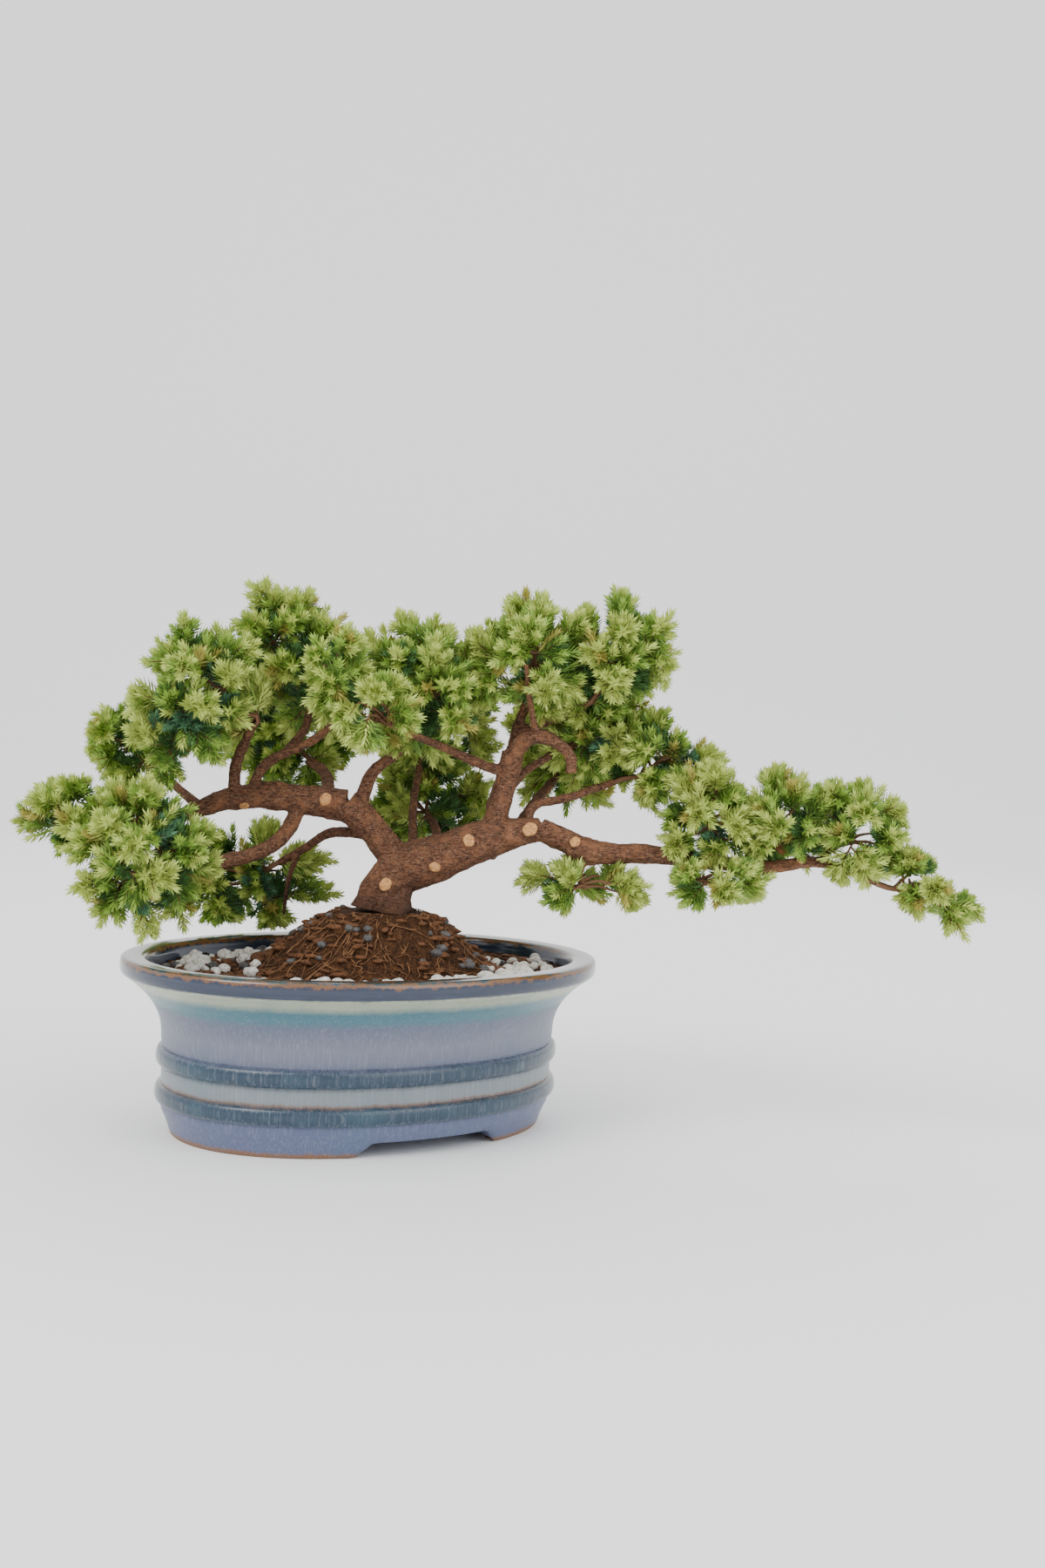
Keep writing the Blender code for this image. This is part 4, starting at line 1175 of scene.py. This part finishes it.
def cut_material(looks):
    shader = Shader("Cut wood", Specular_IOR_Level=0.25)
    fine = shader.noise(CUT_NOISE)
    base = shader.tint(looks.cut, CUT_DARK, fine, 0.35, 0.7)
    return shader.finish(base, 0.8, fine, distance=0.0003, strength=0.5)


def make_cuts(looks):
    """The pale faces of the pruned stubs, slightly domed, with a raised rim."""
    paths, radii = wood_lines()
    parts = []
    for cut in CUTS:
        _, end, out = cut_line(cut, paths, radii)
        across = out.orthogonal().normalized()
        up = out.cross(across)
        rings = []
        for share, lift in CUT_PROFILE:
            ring = []
            for j in range(CUT_SIDES):
                angle = 2 * math.pi * j / CUT_SIDES
                wobble = 1 + 0.08 * math.sin(2 * angle + cut.at * 9) + 0.04 * math.sin(5 * angle)
                reach = cut.radius * share * wobble
                ring.append(end + out * lift + reach * (math.cos(angle) * across + math.sin(angle) * up))
            rings.append(ring)
        parts.append(skin(rings))
    mesh = mesh_of("pruned_faces", *join_parts(parts))
    face_outwards(mesh)
    add_object("pruned_faces", mesh, [cut_material(looks)])


# Foliage


def support(mass, direction):
    """How far a mass reaches from its middle in a direction."""
    x, y, z = direction
    leaning = (x + mass.slope * z, y, z)
    return math.sqrt(sum((h * d) ** 2 for h, d in zip(mass.half, leaning)))


class Space:
    """The room of one mass: a leaning ellipsoid, cut by the planes that part it
    from the other masses, and clear of the limbs."""

    def __init__(self, name, lines):
        mass = MASSES[name]
        self.middle = Vector(mass.middle)
        self.half = mass.half
        self.slope = mass.slope
        self.area = self.half[0] * self.half[1] + self.half[1] * self.half[2] + self.half[2] * self.half[0]
        self.walls = []
        for other_name, other in MASSES.items():
            if other_name != name:
                apart = Vector(other.middle) - self.middle
                direction = apart.normalized()
                own = support(mass, direction)
                share = own / (own + support(other, direction))
                self.walls.append((self.middle + apart * share, direction))
        reach = max(self.half) * LIMBS_NEAR + LIMBS_MARGIN
        near = [line for line in lines if (line[0] - self.middle).length < reach]
        self.starts = np.array([line[0] for line in near]).reshape(-1, 3)
        self.radii = np.array([line[1] for line in near])

    def at(self, direction, share):
        offset = Vector([d * h * share for d, h in zip(direction, self.half)])
        offset.z += self.slope * offset.x
        return self.middle + offset

    def share_of(self, place):
        """How far out a place lies: 0 in the middle and 1 on the outline."""
        offset = place - self.middle
        offset.z -= self.slope * offset.x
        return math.sqrt(sum((o / h) ** 2 for o, h in zip(offset, self.half)))

    def holds(self, place, reach):
        if place.z < LOWEST_NEEDLE or self.share_of(place) > reach:
            return False
        return all((place - point).dot(normal) < WALL_OVERLAP for point, normal in self.walls)

    def clear_of_limbs(self, place, room):
        if not len(self.radii):
            return True
        apart = np.linalg.norm(self.starts - np.array(place), axis=1)
        return bool((apart > self.radii + room).all())


def even_directions(count, rng, lowest):
    """Directions spread evenly over a ball, from the top to the lowest height."""
    found = []
    turn = rng.uniform(0, math.tau)
    for i in range(count):
        z = 1 - (1 - lowest) * (i + 0.5) / count
        angle = turn + GOLDEN_ANGLE * i
        flat = math.sqrt(1 - z * z)
        direction = Vector((flat * math.cos(angle), flat * math.sin(angle), z))
        direction += Vector([rng.uniform(-UNEVEN, UNEVEN) for _ in range(3)])
        found.append(direction.normalized())
    return found


def bowed(start, end, bow, step):
    """A short curve that bows upwards."""
    middle = start.lerp(end, 0.5)
    middle.z += bow * (end - start).length
    return smooth_curve([start, middle, end], step)


def stem_of(mass, paths):
    """The line of a mass's stem, from its bough's tip to the middle of the mass."""
    path = paths[mass.limb]
    lead = (path[-1] - path[-2]).normalized()
    end = Vector(mass.middle) - Vector((0, 0, STEM_LOW * mass.half[2]))
    start = path[-1] - lead * STEM_START
    return smooth_curve([start, start + lead * STEM_BEND * (end - start).length, end], TWIG_STEP)


class Growth:
    """What grows in one group of masses: twigs and the needles of each shoot."""

    def __init__(self, looks):
        self.looks = looks
        self.twigs = []
        self.shoots = []

    def grow_mass(self, name, paths, lines):
        mass = MASSES[name]
        rng = random.Random(name)
        space = Space(name, lines)
        stem = stem_of(mass, paths)
        self.twigs.append((stem, STEM_RADIUS, TWIG_RADIUS))
        forks = list(stem[2:])
        lowest, span = STEM_FORKS
        for i, direction in enumerate(even_directions(TWIGS, rng, LOWEST_TWIG)):
            start, _ = point_at(stem, lowest + span * (i + 1) / TWIGS)
            path = bowed(start, space.at(direction, TWIG_REACH), TWIG_BOW, TWIG_STEP)
            if all(
                space.holds(place, 1) and space.clear_of_limbs(place, TWIG_CLEARANCE) for place in path[2:]
            ):
                self.twigs.append((path, TWIG_RADIUS, TWIG_END))
                forks += path[1:]
        count = round(space.area / self.looks.plume_room)
        for i, direction in enumerate(even_directions(count, rng, LOWEST_PLUME)):
            self.grow_plume(space, forks, direction, PLUME_REACHES[i % len(PLUME_REACHES)], rng)

    def grow_plume(self, space, forks, direction, reach, rng):
        """One plume: an axis from the nearest fork to the outline, with side shoots."""
        longest = self.looks.shoot / MM
        tip = space.at(direction, reach * rng.uniform(*PLUME_VARIES))
        for _ in range(PLUME_TRIES):
            if space.holds(tip, SHOOT_REACH):
                break
            tip = tip.lerp(space.middle, PLUME_PULL)
        outward = (tip - space.middle).normalized()

        def detour(fork):
            return (tip - fork).length - FORK_OUTWARD * (fork - space.middle).dot(outward)

        start = min(forks, key=detour)
        if (tip - start).length < PLUME_SHORTEST:
            start = start.lerp(space.middle, FORK_INWARD)
        path = bowed(start, tip, PLUME_BOW * rng.uniform(*PLUME_BOWS), TWIG_STEP)
        self.twigs.append((path, *PLUME_RADII))
        tint = rng.random()
        turn = rng.uniform(0, math.tau)
        count = self.looks.shoots
        for i in range(count + 1):
            share = min(1, SHOOT_STARTS + (1 - SHOOT_STARTS) * i / count)
            root, axis = point_at(path, share)
            if i == count:
                way = axis
                length = longest * rng.uniform(*TIP_LENGTHS)
            else:
                across = Matrix.Rotation(turn + GOLDEN_ANGLE * i, 3, axis) @ axis.orthogonal().normalized()
                lean = SHOOT_LEAN * rng.uniform(*SHOOT_LEANS)
                way = axis * math.cos(lean) + across * math.sin(lean)
                length = longest * (1 - SHOOT_TAPER * share) * rng.uniform(*SHOOT_LENGTHS)
            way = (way + Vector((0, 0, SHOOT_RISE))).normalized()
            self.grow_shoot(space, root, way, length, tint, rng)

    def grow_shoot(self, space, root, way, length, tint, rng):
        """Keeps a shoot that stays in its room and off the limbs, shortened if need be."""
        for shorter in SHORTER:
            end = root + way * length * shorter
            if space.holds(end, SHOOT_REACH) and all(
                space.clear_of_limbs(root.lerp(end, share), LIMB_CLEARANCE) for share in CHECKED_AT
            ):
                out = space.share_of(root.lerp(end, SHADED_AT))
                self.shoots.append((root, way, length * shorter, out, tint, rng.random(), rng.random()))
                return

    def twig_arrays(self):
        """Three-sided tubes of the twigs and of the shoots' own axes."""
        paths = [(path, spread((wide, narrow), len(path))) for path, wide, narrow in self.twigs]
        for root, way, length, *_ in self.shoots:
            paths.append(([root, root + way * length * 0.5, root + way * length * 0.9],
                          (SHOOT_RADIUS, SHOOT_RADIUS * 0.8, SHOOT_RADIUS * 0.4)))
        points = []
        triangles = []
        for path, radii in paths:
            start = len(points)
            for ring in tube_rings(path, radii, 3):
                points += ring
            for i in range(len(path) - 1):
                for j in range(3):
                    a = start + 3 * i + j
                    b = start + 3 * i + (j + 1) % 3
                    triangles += [(a, b, b + 3), (a, b + 3, a + 3)]
        return np.array(points), np.array(triangles)

    def needle_arrays(self):
        """Folded blades in whorls round each shoot, and the colour of each face."""
        looks = self.looks
        rng = np.random.default_rng(len(self.shoots))
        root = np.array([s[0] for s in self.shoots])
        way = np.array([s[1] for s in self.shoots])
        length = np.array([s[2] for s in self.shoots])
        helper = np.where(np.abs(way[:, 2:3]) < 0.8, [[0.0, 0.0, 1.0]], [[1.0, 0.0, 0.0]])
        across = np.cross(way, helper)
        across /= np.linalg.norm(across, axis=1, keepdims=True)
        up = np.cross(way, across)
        whorls = looks.whorls
        share = (np.arange(whorls) + 0.3) / whorls
        angle = (np.arange(whorls)[:, None] * math.pi / 3 + np.arange(WHORL)[None, :] * math.tau / WHORL)
        size = (len(root), whorls, WHORL)
        angle = angle[None] + rng.normal(0, NEEDLE_TURN_SPREAD, size)
        angle = angle + rng.uniform(0, math.tau, len(root))[:, None, None]
        lean = NEEDLE_LEAN + (TIP_LEAN - NEEDLE_LEAN) * share[None, :, None] ** 3
        lean = lean + rng.normal(0, NEEDLE_LEAN_SPREAD, size)
        out = np.cos(angle)[..., None] * across[:, None, None] + np.sin(angle)[..., None] * up[:, None, None]
        ahead = way[:, None, None] * np.ones((*size, 1))
        needle = ahead * np.cos(lean)[..., None] + out * np.sin(lean)[..., None]
        side = np.cross(ahead, out)
        base = root[:, None, None] + ahead * (share[None, :, None] * length[:, None, None])[..., None]
        base = base + out * SHOOT_RADIUS * 0.5
        fuller = np.minimum(1, length / (FULL_SHOOT * looks.shoot / MM))[:, None, None]
        long = looks.length / MM * fuller * (1 - NEEDLE_TAPER * share[None, :, None] ** 2)
        long = long * rng.uniform(*NEEDLE_LENGTHS, size)
        wide = looks.width / MM * rng.uniform(*NEEDLE_WIDTHS, size)
        long = long.reshape(-1, 1)
        wide = wide.reshape(-1, 1)
        needle, side, base = (a.reshape(-1, 3) for a in (needle, side, base))
        keel = np.cross(side, needle)
        middle = base + needle * long * NEEDLE_WIDEST
        points = np.stack([
            base,
            middle + side * wide / 2,
            middle + keel * wide * NEEDLE_KEEL,
            middle - side * wide / 2,
            base + needle * long + np.array([0, 0, NEEDLE_RISE]) * long,
        ], axis=1)
        first = points.shape[1] * np.arange(len(points))[:, None, None]
        corners = np.array([(0, 1, 2), (0, 2, 3), (1, 4, 2), (2, 4, 3)])
        triangles = (first + corners[None]).reshape(-1, 3)
        return points.reshape(-1, 3), triangles, np.repeat(self.needle_shades(share, size), len(corners))

    def needle_shades(self, share, size):
        """The colour of each needle, one step lighter towards the end of an outer shoot."""
        shade = np.array([shade_of(*shoot[3:]) for shoot in self.shoots])
        outer = np.isin(shade, (SHADES.index("light"), SHADES.index("middle")))
        tipped = (share[None, :, None] > TIPPED_FROM) & outer[:, None, None]
        lighter = np.maximum(shade - 1, 0)[:, None, None]
        return np.where(tipped, lighter, np.broadcast_to(shade[:, None, None], size)).reshape(-1)


def shade_of(out, tint, chance, second):
    """Which colour a shoot takes: paler outside and darker inside, which is painted shade, with a random
    tone on top, and now and then dry inside.
    """
    if out < DRY_WITHIN and chance < DRY_CHANCE:
        return SHADES.index("dry")
    if chance > YELLOW_FROM:
        return SHADES.index("yellow")
    # Painted shade: the further out a shoot lies, the paler its green, with a random tone on top
    shade_and_tone = out + TINT_VARIES * (tint - 0.5) + SHOOT_VARIES * (second - 0.5)
    shade = next(name for name, least in PAINTED_SHADE_AND_TONE if shade_and_tone > least)
    if shade == "middle" and tint > BLUE_FROM:
        shade = "blue"
    return SHADES.index(shade)


def plain_material(name, base, roughness, specular):
    return Shader(name, Base_Color=(*base, 1), Roughness=roughness, Specular_IOR_Level=specular).material


def make_foliage(looks):
    paths, radii = wood_lines()
    lines = []
    for name, path in paths.items():
        lines += [(place, float(wide)) for place, wide in zip(path[::2], radii[name][::2])]
    shades = [plain_material(f"Needles {name}", getattr(looks, name), 0.48, 0.35) for name in SHADES]
    bark = plain_material("Twig bark", looks.twig, 0.85, 0.25)
    for group, names in FOLIAGE_GROUPS.items():
        growth = Growth(looks)
        nodes = ["foliage_" + name for name in names]
        for node in nodes:
            growth.grow_mass(node, paths, lines)
        for piece, arrays, materials, slot in (
            (f"needles_{group}", growth.needle_arrays(), shades, "needles"),
            (f"twigs_{group}", growth.twig_arrays(), [bark], "bark"),
        ):
            foliage = add_object(piece, mesh_of_triangles(piece, *arrays), materials)
            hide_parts(*nodes)


# Stage


def add_area(name, place, aim, size, power, tint):
    light = bpy.data.lights.new(name, "AREA")
    light.shape = "DISK"
    light.size = size
    light.energy = power
    light.color = tint
    lamp = new_object(name, light)
    lamp.location = place
    lamp.rotation_euler = (Vector(aim) - Vector(place)).to_track_quat("-Z", "Y").to_euler()


def make_floor(looks):
    """A pale floor that curves up into a backdrop far behind."""
    profile = [(FLOOR_FRONT, 0.0), (FLOOR_BACK, 0.0)]
    for i in range(1, FLOOR_STEPS + 1):
        angle = math.pi / 2 * i / FLOOR_STEPS
        profile.append((FLOOR_BACK + FLOOR_BEND * math.sin(angle), FLOOR_BEND * (1 - math.cos(angle))))
    profile.append((FLOOR_BACK + FLOOR_BEND, BACKDROP))
    points = [(side * FLOOR_WIDTH, y, z) for y, z in profile for side in (-1, 1)]
    faces = [(2 * i, 2 * i + 1, 2 * i + 3, 2 * i + 2) for i in range(len(profile) - 1)]
    mesh = bpy.data.meshes.new("floor")
    mesh.from_pydata(points, [], faces)
    mesh.shade_smooth()
    mesh.materials.append(plain_material("Pale floor", looks.floor, 0.7, 0.2))
    floor = new_object("floor", mesh)


def make_lights(looks):
    aim = in_frame(AIM)
    for name, lamp in LAMPS.items():
        add_area(name, lamp.place, aim, lamp.size, getattr(looks, lamp.power), lamp.tint)
    world = bpy.data.worlds.new("Studio")
    world.use_nodes = True
    sky = world.node_tree.nodes["Background"]
    sky.inputs["Color"].default_value = (*SKY_COLOUR, 1)
    sky.inputs["Strength"].default_value = looks.sky
    bpy.context.scene.world = world


def make_camera():
    forward = Vector((0, math.cos(CAMERA_PITCH), -math.sin(CAMERA_PITCH)))
    up = Vector((0, math.sin(CAMERA_PITCH), math.cos(CAMERA_PITCH)))
    right = Vector((1, 0, 0))
    rolled_right = math.cos(CAMERA_ROLL) * right + math.sin(CAMERA_ROLL) * up
    rolled_up = math.cos(CAMERA_ROLL) * up - math.sin(CAMERA_ROLL) * right
    camera = new_object("camera", bpy.data.cameras.new("camera"))
    camera.data.lens = CAMERA_LENS
    camera.data.sensor_width = SENSOR
    camera.data.clip_start = CLIP_START
    turn = Matrix((rolled_right, rolled_up, -forward)).transposed()
    camera.matrix_world = Matrix.Translation(in_frame(CAMERA_PLACE)) @ turn.to_4x4()
    bpy.context.scene.camera = camera


# Operators and panel


class BONSAI_OT_pot(bpy.types.Operator):
    """Throws and glazes the pot"""

    bl_idname = "bonsai.pot"
    bl_label = "Pot"

    def execute(self, context):
        make_pot(context.scene.bonsai_pot)
        return {"FINISHED"}


class BONSAI_OT_soil(bpy.types.Operator):
    """Fills the pot with a mound of soil"""

    bl_idname = "bonsai.soil"
    bl_label = "Soil"

    def execute(self, context):
        make_soil(context.scene.bonsai_soil)
        return {"FINISHED"}


class BONSAI_OT_grains(bpy.types.Operator):
    """Scatters perlite, stones and chips of bark on the soil"""

    bl_idname = "bonsai.grains"
    bl_label = "Grains"

    def execute(self, context):
        make_grains(context.scene.bonsai_soil)
        return {"FINISHED"}


class BONSAI_OT_fibres(bpy.types.Operator):
    """Lays root fibres over the soil"""

    bl_idname = "bonsai.fibres"
    bl_label = "Root fibres"

    def execute(self, context):
        make_fibres(context.scene.bonsai_soil)
        return {"FINISHED"}


class BONSAI_OT_bark(bpy.types.Operator):
    """Grows the trunk and limbs as one barked form"""

    bl_idname = "bonsai.bark"
    bl_label = "Trunk and limbs"

    def execute(self, context):
        make_bark(context.scene.bonsai_wood)
        return {"FINISHED"}


class BONSAI_OT_cuts(bpy.types.Operator):
    """Adds the pale faces of the pruned stubs"""

    bl_idname = "bonsai.cuts"
    bl_label = "Pruning cuts"

    def execute(self, context):
        make_cuts(context.scene.bonsai_wood)
        return {"FINISHED"}


class BONSAI_OT_foliage(bpy.types.Operator):
    """Grows twigs and needles in the room of each mass"""

    bl_idname = "bonsai.foliage"
    bl_label = "Foliage"

    def execute(self, context):
        make_foliage(context.scene.bonsai_needles)
        return {"FINISHED"}


class BONSAI_OT_stage(bpy.types.Operator):
    """Sets the floor, the lights and the camera"""

    bl_idname = "bonsai.stage"
    bl_label = "Stage"

    def execute(self, context):
        make_floor(context.scene.bonsai_stage)
        make_lights(context.scene.bonsai_stage)
        make_camera()
        return {"FINISHED"}


LOOKS = {
    "bonsai_pot": PotLooks,
    "bonsai_soil": SoilLooks,
    "bonsai_wood": WoodLooks,
    "bonsai_needles": NeedleLooks,
    "bonsai_stage": StageLooks,
}
OPERATORS = (
    BONSAI_OT_stage,
    BONSAI_OT_pot,
    BONSAI_OT_soil,
    BONSAI_OT_grains,
    BONSAI_OT_fibres,
    BONSAI_OT_bark,
    BONSAI_OT_cuts,
    BONSAI_OT_foliage,
)


class BONSAI_PT_panel(bpy.types.Panel):
    """Lists the pieces of the bonsai and their looks"""

    bl_idname = "BONSAI_PT_panel"
    bl_label = "Juniper bonsai"
    bl_space_type = "VIEW_3D"
    bl_region_type = "UI"
    bl_category = "Bonsai"

    def draw(self, context):
        for operator in OPERATORS:
            self.layout.operator(operator.bl_idname)
        for key in LOOKS:
            box = self.layout.box()
            looks = getattr(context.scene, key)
            for prop in looks.bl_rna.properties:
                if prop.identifier not in {"rna_type", "name"}:
                    box.prop(looks, prop.identifier)


CLASSES = (*LOOKS.values(), *OPERATORS, BONSAI_PT_panel)


def register():
    for cls in CLASSES:
        bpy.utils.register_class(cls)
    for key, group in LOOKS.items():
        setattr(bpy.types.Scene, key, bpy.props.PointerProperty(type=group))


def unregister():
    for key in LOOKS:
        delattr(bpy.types.Scene, key)
    for cls in reversed(CLASSES):
        bpy.utils.unregister_class(cls)


def main():
    register()
    bpy.ops.bonsai.stage()
    bpy.ops.bonsai.pot()
    bpy.ops.bonsai.soil()
    bpy.ops.bonsai.grains()
    bpy.ops.bonsai.fibres()
    bpy.ops.bonsai.bark()
    bpy.ops.bonsai.cuts()
    bpy.ops.bonsai.foliage()
    bpy.context.view_layer.update()


if __name__ == "__main__":
    main()
